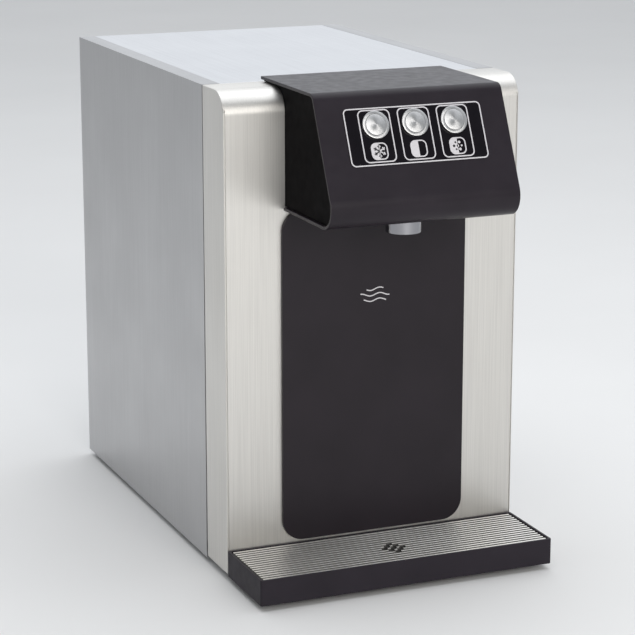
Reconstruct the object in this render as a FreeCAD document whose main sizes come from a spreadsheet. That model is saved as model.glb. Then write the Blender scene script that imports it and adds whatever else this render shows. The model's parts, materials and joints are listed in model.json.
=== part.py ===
"""Countertop water dispenser: a chilled, carbonating dispenser for a kitchen counter.

Axes: +X to the user's right, +Y to the back, +Z up. The origin is the bottom centre of the
whole machine's box. Every sub-part is drawn with y = 0 on the face of the front panel, and
its placement then moves it back by FRONT_Y, so that the origin falls in the middle.
All lengths are in millimetres and all angles in degrees.
"""
import FreeCAD, Part
import math
import os
import re
import Sketcher
from FreeCAD import Placement, Rotation, Vector

SIZES = {
    # Case of folded stainless sheet, standing on four rubber feet
    "case_width": 260.0,
    "case_height": 400.0,
    "case_depth": 382.0,
    "foot_height": 5.0,
    "foot_radius": 11.0,
    "foot_taper": 1.0,
    "foot_across": 100.0,
    "foot_front": 45.0,
    "foot_back": 345.0,
    "gauge": 1.2,
    "play": 0.2,
    "fit_gap": 0.05,
    "seat_gap": 0.1,
    "fuse_lap": 0.1,
    "end_gap": 1.0,
    "overshoot": 1.0,
    "rear_reach": 18.0,
    # Front panel: face, two returns and a rounded top
    "return_depth": 46.5,
    "front_lift": 2.0,
    "front_round": 19.0,
    "corner_bend": 0.7,
    "seam_inset": 0.8,
    "seam_wide": 1.0,
    "seam_deep": 0.9,
    "seam_top": 388.0,
    "window_half": 55.0,
    "window_low": 330.0,
    "window_high": 380.0,
    "window_round": 6.0,
    # Side panels and top panel
    "side_gap_top": 1.2,
    "side_gap_low": 3.0,
    "side_flange": 14.8,
    "flange_lift": 15.0,
    "lap_lift": 14.0,
    "top_seam": 0.4,
    "lap": 7.0,
    "rear_inset": 2.0,
    "rear_flange": 16.0,
    "base_lip": 12.0,
    "base_vent_from": 200.0,
    # Black splash plate on the front face
    "splash_half": 81.5,
    "splash_low": 29.0,
    "splash_round": 18.0,
    "splash_thick": 3.0,
    # Dispensing head of folded black sheet
    "head_half": 80.5,
    "head_top": 409.5,
    "head_bottom": 308.0,
    "head_back": 45.0,
    "head_gauge": 2.5,
    "head_upper_bend": 8.0,
    "head_lower_bend": 17.0,
    "face_top_y": 62.9,
    "face_tilt": 25.4,
    "cheek_inset": 2.5,
    "bracket_thick": 2.0,
    "bracket_side": 14.0,
    "bracket_below": 16.0,
    "bracket_above": 4.0,
    "ear_top": 30.0,
    "ear_low": 50.0,
    "ear_round": 8.0,
    "cheek_thick": 2.0,
    "cheek_gap": 0.3,
    "cheek_short": 1.0,
    "seal_inset": 2.0,
    # Button row on the sloping face
    "button_row_z": 384.2,
    "button_pitch": 33.3,
    "label_half": 58.5,
    "label_above": 14.2,
    "label_below": 32.1,
    "label_round": 4.0,
    "label_thick": 0.8,
    "bezel_radius": 11.15,
    "bezel_height": 2.0,
    "bezel_round": 0.7,
    "barrel_radius": 9.4,
    "barrel_length": 26.0,
    "cap_radius": 8.45,
    "cap_play": 0.08,
    "cap_well": 8.0,
    "cap_thick": 4.4,
    "cap_dome": 0.9,
    "cap_round": 0.4,
    "crown_round": 3.0,
    "well_round": 0.3,
    "stem_radius": 2.5,
    "stem_length": 12.0,
    "stem_hole": 20.0,
    "spring_radius": 5.4,
    "spring_wire": 0.45,
    "spring_pitch": 1.6,
    "spring_turns": 3.3,
    "nut_flats": 22.0,
    "nut_thick": 3.0,
    # Outlet nozzle under the head
    "nozzle_y": 57.0,
    "nozzle_radius": 14.25,
    "nozzle_wall": 1.3,
    "nozzle_drop": 13.0,
    "cup_round": 0.8,
    "lip_round": 0.5,
    "neck_radius": 10.0,
    "neck_gap": 0.3,
    "neck_nut_flats": 26.0,
    "neck_length": 22.0,
    "outlet_radius": 3.0,
    "diffuser_thick": 5.0,
    "diffuser_hole": 1.2,
    "diffuser_inner": 4.4,
    "diffuser_outer": 7.0,
    # Drip tray and its ribbed grille
    "tray_depth": 76.0,
    "tray_height": 21.7,
    "tray_wall": 2.2,
    "tray_floor": 2.5,
    "tray_ledge": 2.8,
    "tray_recess": 3.0,
    "tray_round": 2.0,
    "tray_pad_radius": 8.0,
    "tray_pad_across": 95.0,
    "tongue_from": 77.0,
    "tongue_to": 93.0,
    "tongue_low": 13.5,
    "tongue_high": 16.5,
    "tongue_reach": 9.0,
    "tongue_side_gap": 1.0,
    "tongue_gap": 0.5,
    "grille_thick": 1.2,
    "rib_pitch": 4.75,
    "rib_width": 3.0,
    "rib_crown": 2.0,
    "rib_round": 0.7,
    "rib_short": 1.0,
    "rib_height": 1.4,
    "drain_slot": 5.5,
    "drain_slot_wide": 3.6,
    "drain_throat": 1.4,
    "drain_pitch": 8.0,
    "drain_y": 42.95,
    # Chilled water tank in front
    "tank_x": 33.0,
    "tank_y": 97.0,
    "tank_outer": 170.0,
    "tank_foam": 18.0,
    "tank_wall": 2.0,
    "tank_low": 7.0,
    "tank_high": 240.0,
    "tank_round": 6.0,
    "lid_thick": 16.0,
    "evaporator_radius": 58.0,
    "evaporator_tube": 4.0,
    "evaporator_pitch": 12.0,
    "evaporator_turns": 11.0,
    "evaporator_rise": 8.0,
    "water_coil_radius": 49.0,
    "water_coil_tube": 3.0,
    "water_coil_pitch": 9.0,
    "water_coil_turns": 14.0,
    "carbonator_radius": 24.0,
    "carbonator_height": 150.0,
    "carbonator_x": 17.0,
    "carbonator_lift": 9.0,
    "carbonator_neck": 4.0,
    "agitator_x": 28.0,
    "motor_shaft": 3.0,
    "shaft_way": 2.0,
    "shaft_play": 0.06,
    "paddle_reach": 10.0,
    "paddle_thick": 2.0,
    "paddle_high": 10.0,
    "agitator_low": 60.0,
    "motor_radius": 18.0,
    "motor_height": 44.0,
    # Refrigeration behind the tank
    "compressor_x": 62.0,
    "compressor_y": 277.0,
    "compressor_radius": 54.0,
    "compressor_low": 21.0,
    "compressor_high": 158.0,
    "shell_foot_round": 14.0,
    "shell_dome_round": 34.0,
    "weld_ring": 2.5,
    "weld_half": 2.0,
    "stub_across": 16.0,
    "stub_forward": 10.0,
    "stub_sunk": 30.0,
    "stub_proud": 12.0,
    "base_bar": 2.5,
    "grommet_radius": 8.0,
    "mount_across": 50.0,
    "mount_along": 40.0,
    "mount_edge": 10.0,
    "fan_x": 65.0,
    "fan_z": 76.0,
    "fan_size": 119.0,
    "fan_bore": 56.0,
    "fan_front": 306.0,
    "fan_depth": 25.0,
    "fan_round": 5.0,
    "fan_hub": 19.0,
    "hub_inset": 2.0,
    "spoke_half": 3.0,
    "spoke_lap": 2.0,
    "spoke_deep": 4.0,
    "fan_pin": 16.0,
    "blade_reach": 54.5,
    "blade_chord": 22.0,
    "blade_thick": 1.8,
    "blade_pitch": 35.0,
    "blade_root": 3.0,
    "blade_inset": 5.0,
    "fin_pitch": 4.0,
    "fin_thick": 0.5,
    "fin_front": 336.0,
    "fin_back": 370.0,
    "fin_low": 12.0,
    "fin_high": 150.0,
    "fin_tube": 4.0,
    "fin_tube_low": 17.0,
    "fin_tube_pitch": 26.0,
    "line_radius": 3.0,
    "drier_x": 20.0,
    "drier_y": 205.0,
    "drier_low": 160.0,
    "drier_long": 90.0,
    "drier_radius": 9.0,
    "drier_stub": 8.0,
    "drier_taper": 8.0,
    # Water and gas side
    "pump_x": 90.0,
    "pump_y": 70.0,
    "pump_radius": 27.0,
    "pump_motor_high": 130.0,
    "pump_head_radius": 20.0,
    "pump_head_high": 172.0,
    "pump_foot": 5.0,
    "pump_port": 30.0,
    "pump_port_drop": 18.0,
    "valve_low": 286.0,
    "valve_half": 62.0,
    "valve_height": 20.0,
    "valve_gap": 8.0,
    "valve_deep": 26.0,
    "valve_bore": 14.0,
    "coil_size": 26.0,
    "coil_pitch": 38.0,
    "coil_lift": 3.0,
    "core_proud": 8.0,
    "hose_radius": 4.0,
    "hose_level": 276.0,
    "hose_front": 22.0,
    "hose_turn": 50.0,
    "hose_dip": 20.0,
    "gas_level": 280.0,
    "gas_turn_y": 150.0,
    "inlet_turn": 240.0,
    "pump_turn": 190.0,
    "gas_rise_low": 235.0,
    "gas_rise_high": 215.0,
    "nozzle_hose_rise": 12.0,
    "gas_line_level": 200.0,
    "gas_line_x": 60.0,
    "gas_line_turn": 290.0,
    "suction_level": 230.0,
    "suction_end": 200.0,
    "liquid_rise": 34.0,
    "fitting_radius": 9.0,
    "fitting_neck": 7.0,
    "fitting_bore": 4.05,
    "fitting_z": 214.0,
    "fitting_tail": 22.0,
    "fitting_stop": 2.0,
    "water_x": 55.0,
    "gas_x": 95.0,
    # Electrical parts on and behind the rear panel
    "shelf_low": 292.0,
    "shelf_front": 215.0,
    "shelf_back": 350.0,
    "shelf_right": 10.0,
    "shelf_lip": 20.0,
    "board_left": 110.0,
    "board_right": 5.0,
    "board_front": 225.0,
    "board_back": 335.0,
    "board_lift": 6.0,
    "board_thick": 1.6,
    "post_inset": 6.0,
    "post_radius": 3.0,
    "relay_from": 100.0,
    "relay_pitch": 30.0,
    "relay_long": 20.0,
    "relay_wide": 16.0,
    "relay_high": 15.5,
    "converter_inset": 15.0,
    "converter_long": 45.0,
    "converter_wide": 38.0,
    "converter_high": 32.5,
    "inlet_x": 80.0,
    "inlet_z": 345.0,
    "inlet_flange": 50.0,
    "inlet_flange_high": 24.0,
    "inlet_body": 27.0,
    "inlet_body_high": 19.5,
    "inlet_well": 24.4,
    "inlet_well_high": 16.4,
    "inlet_lip": 3.0,
    "inlet_round": 5.0,
    "inlet_corner": 2.0,
    "inlet_deep": 20.0,
    "inlet_well_deep": 15.0,
    "inlet_tail": 25.0,
    "pin_thick": 2.0,
    "pin_high": 4.0,
    "pin_across": 7.0,
    "earth_lift": 4.0,
    "switch_x": 25.0,
    "rocker_half": 10.0,
    "rocker_wide": 9.6,
    "rocker_throw": 10.0,
    "rocker_rise": 2.6,
    "rocker_deep": 6.0,
    "rocker_end_gap": 0.6,
    "switch_wall": 1.8,
    "switch_end": 2.3,
    "switch_rim": 4.0,
    "switch_rim_end": 5.0,
    "switch_lip": 2.0,
    "switch_corner": 2.0,
    "switch_deep": 18.0,
    "switch_well": 12.0,
    "dial_x": 40.0,
    "dial_radius": 15.0,
    "dial_shaft": 3.0,
    "dial_bush": 1.8,
    "dial_gap": 0.6,
    "dial_high": 14.0,
    "dial_skirt": 3.0,
    "dial_tail": 19.0,
    "flute_radius": 1.5,
    "flute_out": 0.6,
    "thermostat_half": 18.0,
    "thermostat_deep": 28.0,
    "thermostat_gap": 2.0,
    "vent_long": 32.0,
    "vent_high": 4.0,
    "vent_pitch": 10.0,
    "vent_low": 25.0,
    "vent_gap": 6.4,
    "vent_round": 1.9,
    "screw_radius": 1.9,
    "screw_head": 3.6,
    "screw_head_high": 1.8,
    "screw_long": 7.0,
    "socket_flats": 3.0,
    "socket_deep": 1.2,
}
BUTTONS = ("left", "middle", "right")
VENT_ROWS = 12
BASE_VENTS = 9
RIBS = 15
FINS = 30
FIN_TUBES = 5
FAN_BLADES = 7
PLANE_NORMAL = {"XY": 1, "XZ": -1, "YZ": 1}
ROD_TURN = {
    "x": Rotation(Vector(0, 1, 0), 90),
    "y": Rotation(Vector(1, 0, 0), -90),
    "z": Rotation(),
}

# Derived lengths, written as expressions over the sheet's names
CASE_TOP = "(foot_height + case_height)"
SIDE = "(case_width / 2)"
INSIDE = "(case_width / 2 - gauge)"
REAR_FACE = "(case_depth - rear_inset)"
REAR_INNER = "(case_depth - rear_inset - gauge)"
FLOOR_TOP = "(foot_height + gauge)"
HALF_CORNER = "tan((90 - face_tilt) / 2)"
SCREW_HEIGHTS = ("40", "165", "270", "380")
SCREW_X = f"({INSIDE} - rear_flange / 2 + gauge)"
LID_TOP = "(tank_high + play + lid_thick)"
TANK_IN = "(tank_outer / 2 - tank_foam)"
MOTOR_X = "(-tank_x + agitator_x)"
CARBONATOR_X = "(-tank_x - carbonator_x)"
CARBONATOR_LOW = "(tank_low + tank_foam + tank_wall + carbonator_lift)"
CARBONATOR_HIGH = "(tank_high + lid_thick + carbonator_neck)"
COIL_X = "(-tank_x + water_coil_radius)"
COIL_Y = "(tank_y - hose_radius * 5)"
PUMP_PORT_Z = "(pump_head_high - pump_port_drop)"
VALVE_Y = "(gauge + valve_gap + valve_deep / 2)"
VALVE_TOP = "(valve_low + valve_height)"


def face_y(z, inset="0"):
    """y of the head's sloping face at height z, moved inwards by inset."""
    return f"(-face_top_y - (head_top - ({z})) * tan(face_tilt) + ({inset}) / cos(face_tilt))"


HEAD_REACH = f"(-{face_y('head_bottom')} - head_lower_bend / {HALF_CORNER} + head_lower_bend)"
FRONT_Y = f"({HEAD_REACH} - case_depth - rear_reach) / 2"

document = FreeCAD.newDocument("WaterDispenser")
sheet = document.addObject("Spreadsheet::Sheet", "Sizes")
for row, (alias, number) in enumerate(SIZES.items(), start=1):
    sheet.set(f"A{row}", alias)
    sheet.set(f"B{row}", str(number))
    sheet.setAlias(f"B{row}", alias)
document.recompute()
pieces = []


# ---------------------------------------------------------------- helpers

def bound(expression):
    """The expression with each size's name pointed at its cell in the sheet."""
    def cell(match):
        name = match.group()
        return f"Sizes.{name}" if name in SIZES else name
    return re.sub(r"[A-Za-z_][A-Za-z_0-9]*", cell, str(expression))


def value(expression):
    """What an expression over the sheet comes to."""
    return float(sheet.evalExpression(bound(expression)))


def bind(item, name, expression):
    item.setExpression(name, bound(expression))


def move(item, at):
    """Bind an object's base point to three expressions."""
    for axis, expression in zip("xyz", at):
        bind(item, f"Placement.Base.{axis}", expression)


def piece(label, item, x="0", y="0", z="0", tilted=False):
    """Name a finished sub-part and place it in the machine."""
    item.Label = label
    if tilted:
        item.Placement = Placement(Vector(), Rotation(Vector(1, 0, 0), 90))
        bind(item, "Placement.Rotation.Angle", "90 - face_tilt")
    move(item, (x, f"{FRONT_Y} + ({y})", z))
    pieces.append(item)
    return item


def block(x, y, z):
    """Box between a low and a high limit along each axis."""
    box = document.addObject("Part::Box", "Block")
    for side, (low, high) in zip(("Length", "Width", "Height"), (x, y, z)):
        bind(box, side, f"({high}) - ({low})")
    move(box, (x[0], y[0], z[0]))
    return box


def rod(radius, at, length, along="z"):
    """Cylinder that starts at a point and runs along one axis."""
    cylinder = document.addObject("Part::Cylinder", "Rod")
    cylinder.Placement = Placement(Vector(), ROD_TURN[along])
    bind(cylinder, "Radius", radius)
    bind(cylinder, "Height", length)
    move(cylinder, at)
    return cylinder


def hexagon(flats, at, length, along="z"):
    """Hexagonal bar that starts at a point and runs along one axis."""
    prism = document.addObject("Part::Prism", "Hexagon")
    prism.Polygon = 6
    prism.Placement = Placement(Vector(), ROD_TURN[along])
    bind(prism, "Circumradius", f"({flats}) / sqrt(3)")
    bind(prism, "Height", length)
    move(prism, at)
    return prism


def fuse(*members):
    joined = document.addObject("Part::MultiFuse", "Fuse")
    joined.Shapes = list(members)
    joined.Refine = True
    return joined


def cut(base, *tools):
    difference = document.addObject("Part::Cut", "Cut")
    difference.Base = base
    difference.Tool = tools[0] if len(tools) == 1 else fuse(*tools)
    return difference


def group(*members):
    """Several separate solids that share one sub-part."""
    compound = document.addObject("Part::Compound", "Group")
    compound.Links = list(members)
    return compound


def new_body():
    return document.addObject("PartDesign::Body", "Body")


def sketch_on(body, plane, level="0"):
    """Empty sketch on one of the body's origin planes, or parallel to it at a level."""
    sketch = body.newObject("Sketcher::SketchObject", "Profile")
    role = f"{plane}_Plane"
    plane_feature = next(f for f in body.Origin.OriginFeatures if f.Role == role)
    sketch.AttachmentSupport = (plane_feature, "")
    sketch.MapMode = "FlatFace"
    bind(sketch, "AttachmentOffset.Base.z", f"{PLANE_NORMAL[plane]} * ({level})")
    return sketch


def bind_point(sketch, geometry, place, point, at):
    """Hold one point of a sketch at two expressions from the sketch's origin."""
    for kind, expression, start in zip(("DistanceX", "DistanceY"), point, at):
        index = sketch.addConstraint(Sketcher.Constraint(kind, -1, 1, geometry, place, start))
        bind(sketch, f"Constraints[{index}]", expression)


def draw_circle(sketch, x, y, radius):
    centre = Vector(value(x), value(y), 0)
    circle = Part.Circle(centre, Vector(0, 0, 1), value(radius))
    geometry = sketch.addGeometry(circle, False)
    bind_point(sketch, geometry, 3, (x, y), (centre.x, centre.y))
    index = sketch.addConstraint(Sketcher.Constraint("Radius", geometry, value(radius)))
    bind(sketch, f"Constraints[{index}]", radius)


def corner_arc(before, corner, after, radius):
    """Tangent arc in a corner: its centre, where it meets each line, and its turn."""
    inward = (before - corner).normalize()
    onward = (after - corner).normalize()
    half = math.acos(max(-1.0, min(1.0, inward.dot(onward)))) / 2
    reach = radius / math.tan(half)
    centre = corner + (inward + onward).normalize() * (radius / math.sin(half))
    clockwise = inward.x * onward.y - inward.y * onward.x > 0
    return centre, corner + inward * reach, corner + onward * reach, clockwise


def draw_outline(sketch, points):
    """Closed outline of straight lines through (x, y) or (x, y, corner radius) points."""
    points = [(*point, "0")[:3] for point in points]
    corners = [Vector(value(x), value(y), 0) for x, y, _ in points]
    count = len(points)
    arcs = []
    for i, (_, _, radius) in enumerate(points):
        size = value(radius)
        if size > 0:
            arcs.append(corner_arc(corners[i - 1], corners[i], corners[(i + 1) % count], size))
        else:
            arcs.append((None, corners[i], corners[i], False))
    lines = []
    for i in range(count):
        side = Part.LineSegment(arcs[i][2], arcs[(i + 1) % count][1])
        lines.append(sketch.addGeometry(side, False))
    for i, (x, y, radius) in enumerate(points):
        line_in, line_out = lines[i - 1], lines[i]
        centre, start, end, clockwise = arcs[i]
        if centre is None:
            sketch.addConstraint(Sketcher.Constraint("Coincident", line_in, 2, line_out, 1))
            bind_point(sketch, line_out, 1, (x, y), (corners[i].x, corners[i].y))
            continue
        first, last = (end, start) if clockwise else (start, end)
        angles = [math.atan2(p.y - centre.y, p.x - centre.x) for p in (first, last)]
        circle = Part.Circle(centre, Vector(0, 0, 1), value(radius))
        arc = sketch.addGeometry(Part.ArcOfCircle(circle, *angles), False)
        near, far = (2, 1) if clockwise else (1, 2)
        sketch.addConstraint(Sketcher.Constraint("Tangent", line_in, 2, arc, near))
        sketch.addConstraint(Sketcher.Constraint("Tangent", arc, far, line_out, 1))
        index = sketch.addConstraint(Sketcher.Constraint("Radius", arc, value(radius)))
        bind(sketch, f"Constraints[{index}]", radius)
        corner = sketch.addGeometry(Part.Point(corners[i]), True)
        sketch.addConstraint(Sketcher.Constraint("PointOnObject", corner, 1, line_in))
        sketch.addConstraint(Sketcher.Constraint("PointOnObject", corner, 1, line_out))
        bind_point(sketch, corner, 1, (x, y), (corners[i].x, corners[i].y))


def rectangle(x, y, radius="0"):
    """Outline points of a rectangle between limits, with one radius at its corners."""
    return [(x[0], y[0], radius), (x[1], y[0], radius),
            (x[1], y[1], radius), (x[0], y[1], radius)]


def extrude(body, kind, plane, start, end, outlines=(), circles=()):
    """Pad or Pocket of outlines and circles, from one level to a higher one."""
    sketch = sketch_on(body, plane, start)
    for points in outlines:
        draw_outline(sketch, points)
    for circle in circles:
        draw_circle(sketch, *circle)
    feature = body.newObject(f"PartDesign::{kind}", kind)
    feature.Profile = sketch
    bind(feature, "Length", f"({end}) - ({start})")
    feature.Reversed = (plane == "XZ") != (kind == "Pocket")
    return feature


def pad(body, plane, start, end, outlines=(), circles=()):
    return extrude(body, "Pad", plane, start, end, outlines, circles)


def pocket(body, plane, start, end, outlines=(), circles=()):
    """Cut that has to take some material away."""
    document.recompute()
    before = body.Shape.Volume
    feature = extrude(body, "Pocket", plane, start, end, outlines, circles)
    document.recompute()
    if not body.Shape.Volume < before:
        raise RuntimeError(f"pocket {feature.Name} cuts nothing")
    return feature


def repeat(body, feature, axis, length, count):
    """Linear pattern of one feature along an origin axis of its body, over a length."""
    pattern = body.newObject("PartDesign::LinearPattern", "Pattern")
    role = f"{axis}_Axis"
    pattern.Originals = [feature]
    pattern.Direction = (next(f for f in body.Origin.OriginFeatures if f.Role == role), [""])
    bind(pattern, "Length", length)
    pattern.Occurrences = count
    body.Tip = pattern
    return pattern


def turned(points):
    """Body turned about the z axis from an outline in (radius, height)."""
    body = new_body()
    sketch = sketch_on(body, "XZ")
    draw_outline(sketch, points)
    revolution = body.newObject("PartDesign::Revolution", "Revolution")
    revolution.Profile = sketch
    revolution.ReferenceAxis = (sketch, ["V_Axis"])
    revolution.Angle = 360
    return body


def fillet(body, radius, wanted):
    """Round those straight edges of a body that a test on their two ends picks out."""
    document.recompute()
    base = body.Tip
    names = []
    for number, edge in enumerate(base.Shape.Edges, start=1):
        ends = [vertex.Point for vertex in edge.Vertexes]
        if len(ends) == 2 and wanted(*ends):
            names.append(f"Edge{number}")
    feature = body.newObject("PartDesign::Fillet", "Fillet")
    feature.Base = (base, names)
    bind(feature, "Radius", radius)
    body.Tip = feature
    return feature


def upright(first, second):
    """True for the ends of a vertical edge."""
    return math.hypot(first.x - second.x, first.y - second.y) < 1e-4


def helix_coil(radius, pitch, turns, tube, low, segment=0):
    """Round wire or tube wound about the z axis, upwards from height low.

    A segment is how many turns each stretch of the spine covers, and 0 makes it one stretch.
    """
    helix = document.addObject("Part::Helix", "Helix")
    bind(helix, "Radius", radius)
    bind(helix, "Pitch", pitch)
    bind(helix, "Height", f"({pitch}) * ({turns})")
    helix.SegmentLength = segment
    ring = document.addObject("Part::Circle", "Section")
    ring.Placement = Placement(Vector(), Rotation(Vector(1, 0, 0), 90))
    bind(ring, "Radius", tube)
    bind(ring, "Placement.Base.x", radius)
    document.recompute()
    coil = document.addObject("Part::Sweep", "Coil")
    coil.Sections = [ring]
    coil.Spine = (helix, [f"Edge{number + 1}" for number in range(len(helix.Shape.Edges))])
    coil.Solid = True
    coil.Frenet = True
    bind(coil, "Placement.Base.z", low)
    return coil


def tube_shape(points, radius, bend):
    """Round tube of straight runs joined by tangent arcs, through points in x, y and z."""
    route = [Vector(*[value(number) for number in point]) for point in points]
    edges = []
    start = route[0]
    for before, corner, after in zip(route, route[1:], route[2:]):
        inward = (before - corner).normalize()
        onward = (after - corner).normalize()
        half = math.acos(inward.dot(onward)) / 2
        reach = bend / math.tan(half)
        centre = corner + (inward + onward).normalize() * (bend / math.sin(half))
        middle = centre + (corner - centre).normalize() * bend
        edges.append(Part.LineSegment(start, corner + inward * reach).toShape())
        arc = Part.Arc(corner + inward * reach, middle, corner + onward * reach)
        edges.append(arc.toShape())
        start = corner + onward * reach
    edges.append(Part.LineSegment(start, route[-1]).toShape())
    spine = Part.Wire(edges)
    section = Part.Wire(Part.Circle(route[0], route[1] - route[0], radius).toShape())
    pipe = spine.makePipeShell([section], True, False)
    expected = math.pi * radius ** 2 * spine.Length
    if abs(pipe.Volume - expected) > expected / 100:
        raise RuntimeError("a tube's volume is not its section times its length")
    return pipe


def tubes(label, routes, radius, bend):
    """One sub-part made of one or more bent tubes."""
    item = document.addObject("Part::Feature", "Tubes")
    shapes = [tube_shape(points, value(radius), value(bend)) for points in routes]
    item.Shape = shapes[0] if len(shapes) == 1 else Part.makeCompound(shapes)
    return piece(label, item)


# ---------------------------------------------------------------- case

def front_panel():
    body = new_body()
    low = "foot_height + front_lift"
    pad(body, "YZ", f"-{SIDE}", SIDE, [[
        ("0", low), ("return_depth", low), ("return_depth", CASE_TOP),
        ("0", CASE_TOP, "front_round")]])
    fillet(body, "corner_bend", lambda a, b: upright(a, b) and abs(a.y) < 1)
    pocket(body, "YZ", f"-{INSIDE}", INSIDE, [[
        ("gauge", f"{low} - gauge"), ("return_depth + gauge", f"{low} - gauge"),
        ("return_depth + gauge", f"{CASE_TOP} - gauge"),
        ("gauge", f"{CASE_TOP} - gauge", "front_round - gauge")]])
    window = rectangle(("-window_half", "window_half"), ("window_low", "window_high"),
                       "window_round")
    slots = [
        rectangle((f"{side}({start}) - tongue_side_gap", f"{side}({end}) + tongue_side_gap"),
                  ("tongue_low - tongue_gap", "tongue_high + tongue_gap"))
        for side, start, end in (("-", "tongue_to", "tongue_from"), ("", "tongue_from", "tongue_to"))]
    pocket(body, "XZ", "-gauge", "gauge * 2", [window, *slots])
    near, far = f"({SIDE} - seam_inset)", f"({SIDE} - seam_inset - seam_wide)"
    seams = [rectangle(limits, (f"{low} - overshoot", "seam_top"))
             for limits in ((f"-{near}", f"-{far}"), (far, near))]
    pocket(body, "XZ", "-overshoot", "seam_deep", seams)
    piece("front_panel", body)


def side_panel(label, side):
    """Side sheet with a flange on top, one at the rear and a lap behind the front panel."""
    def across(near, far):
        """Limits in x, measured inwards from the outside of this side of the case."""
        limits = (f"-{SIDE} + ({near})", f"-{SIDE} + ({far})")
        return limits if side < 0 else (f"{SIDE} - ({far})", f"{SIDE} - ({near})")

    front_low = "return_depth + side_gap_low"
    front_top = "return_depth + side_gap_top"
    body = new_body()
    pad(body, "YZ", *across("0", "gauge"), [[
        (front_low, "foot_height"), ("case_depth", "foot_height"),
        ("case_depth", CASE_TOP), (front_top, CASE_TOP)]])
    pad(body, "XY", f"{CASE_TOP} - gauge", CASE_TOP, [
        rectangle(across("0", "side_flange"), (front_top, "case_depth"))])
    pad(body, "XZ", f"{REAR_INNER} - gauge", REAR_INNER, [
        rectangle(across("0", "rear_flange"), ("foot_height + flange_lift", f"{CASE_TOP} - gauge"))])
    pad(body, "YZ", *across("gauge", "gauge * 2"), [
        rectangle(("return_depth - lap", "return_depth + lap * 2"),
                  ("foot_height + lap_lift", f"{CASE_TOP} - front_round"))])
    centre = across("rear_flange / 2", "rear_flange / 2")[0]
    pocket(body, "XZ", f"{REAR_INNER} - gauge * 2", f"{REAR_INNER} + gauge",
           circles=[(centre, height, "screw_radius + play") for height in SCREW_HEIGHTS])
    piece(label, body)


def top_panel():
    """Top sheet between the side flanges, with a lap under each of them."""
    body = new_body()
    start = "return_depth + top_seam * 2"
    edge = f"({SIDE} - side_flange - top_seam)"
    pad(body, "XY", f"{CASE_TOP} - gauge", CASE_TOP, [
        rectangle((f"-{edge}", edge), (start, "case_depth - play"))])
    for limits in ((f"-{edge} - lap", f"-{edge} + lap"), (f"{edge} - lap", f"{edge} + lap")):
        pad(body, "XY", f"{CASE_TOP} - gauge * 2", f"{CASE_TOP} - gauge", [
            rectangle(limits, (start, f"{REAR_INNER} - gauge * 2"))])
    piece("top_panel", body)


def rear_panel():
    """Rear sheet with two fields of air slots and the openings for the connections."""
    body = new_body()
    edge = f"({INSIDE} - play)"
    pad(body, "XZ", REAR_INNER, REAR_FACE, [
        rectangle((f"-{edge}", edge), (f"{FLOOR_TOP} + play", f"{CASE_TOP} - gauge - play"))])
    centres = ("fan_x - vent_long - vent_gap", "fan_x", "fan_x + vent_long + vent_gap",
               "-compressor_x - (vent_long + vent_gap) / 2", "-compressor_x + (vent_long + vent_gap) / 2")
    for centre in centres:
        first = pocket(body, "XZ", f"{REAR_INNER} - gauge", f"{REAR_FACE} + gauge", [
            rectangle((f"{centre} - vent_long / 2", f"{centre} + vent_long / 2"),
                      ("vent_low", "vent_low + vent_high"), "vent_round")])
        repeat(body, first, "Z", f"vent_pitch * {VENT_ROWS - 1}", VENT_ROWS)
    openings = [
        rectangle(("-inlet_x - inlet_body / 2 - play", "-inlet_x + inlet_body / 2 + play"),
                  ("inlet_z - inlet_body_high / 2 - play", "inlet_z + inlet_body_high / 2 + play")),
        rectangle(("-switch_x - rocker_wide / 2 - switch_wall - play",
                   "-switch_x + rocker_wide / 2 + switch_wall + play"),
                  ("inlet_z - rocker_half - switch_end - play",
                   "inlet_z + rocker_half + switch_end + play"))]
    holes = [(f"{sign}{SCREW_X}", height, "screw_radius + play")
             for sign in "-+" for height in SCREW_HEIGHTS]
    holes += [("water_x", "fitting_z", "fitting_neck + play"),
              ("gas_x", "fitting_z", "fitting_neck + play"),
              ("dial_x", "inlet_z", "dial_shaft + dial_bush + play")]
    pocket(body, "XZ", f"{REAR_INNER} - gauge", f"{REAR_FACE} + gauge", openings, holes)
    piece("rear_panel", body)


def base_plate():
    """Floor sheet with three upturned flanges, air slots and holes for the feet."""
    body = new_body()
    edge = f"({INSIDE} - gauge - play)"
    back = f"({REAR_INNER} - gauge - play)"
    pad(body, "XY", "foot_height", "foot_height + base_lip", [
        rectangle((f"-{edge}", edge), ("gauge + play * 2", back))])
    pocket(body, "XY", FLOOR_TOP, "foot_height + base_lip + overshoot", [
        rectangle((f"-{edge} + gauge", f"{edge} - gauge"), ("-gauge", f"{back} - gauge"))])
    first = pocket(body, "XY", "foot_height - overshoot", f"{FLOOR_TOP} + overshoot", [
        rectangle(("fan_x - vent_long", "fan_x + vent_long"),
                  ("base_vent_from", "base_vent_from + vent_high"), "vent_round")])
    repeat(body, first, "Y", f"vent_pitch * {BASE_VENTS - 1}", BASE_VENTS)
    piece("base_plate", body)


def feet():
    """Four tapered rubber feet, each hollow underneath round its screw."""
    solids = []
    for x in ("-foot_across", "foot_across"):
        for y in ("foot_front", "foot_back"):
            cone = document.addObject("Part::Cone", "Foot")
            bind(cone, "Radius1", "foot_radius - foot_taper")
            bind(cone, "Radius2", "foot_radius")
            bind(cone, "Height", "foot_height")
            move(cone, (x, y, "0"))
            solids.append(cut(cone, rod("foot_radius / 3", (x, y, "0"), "foot_height / 2")))
    piece("rubber_feet", group(*solids))


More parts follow.
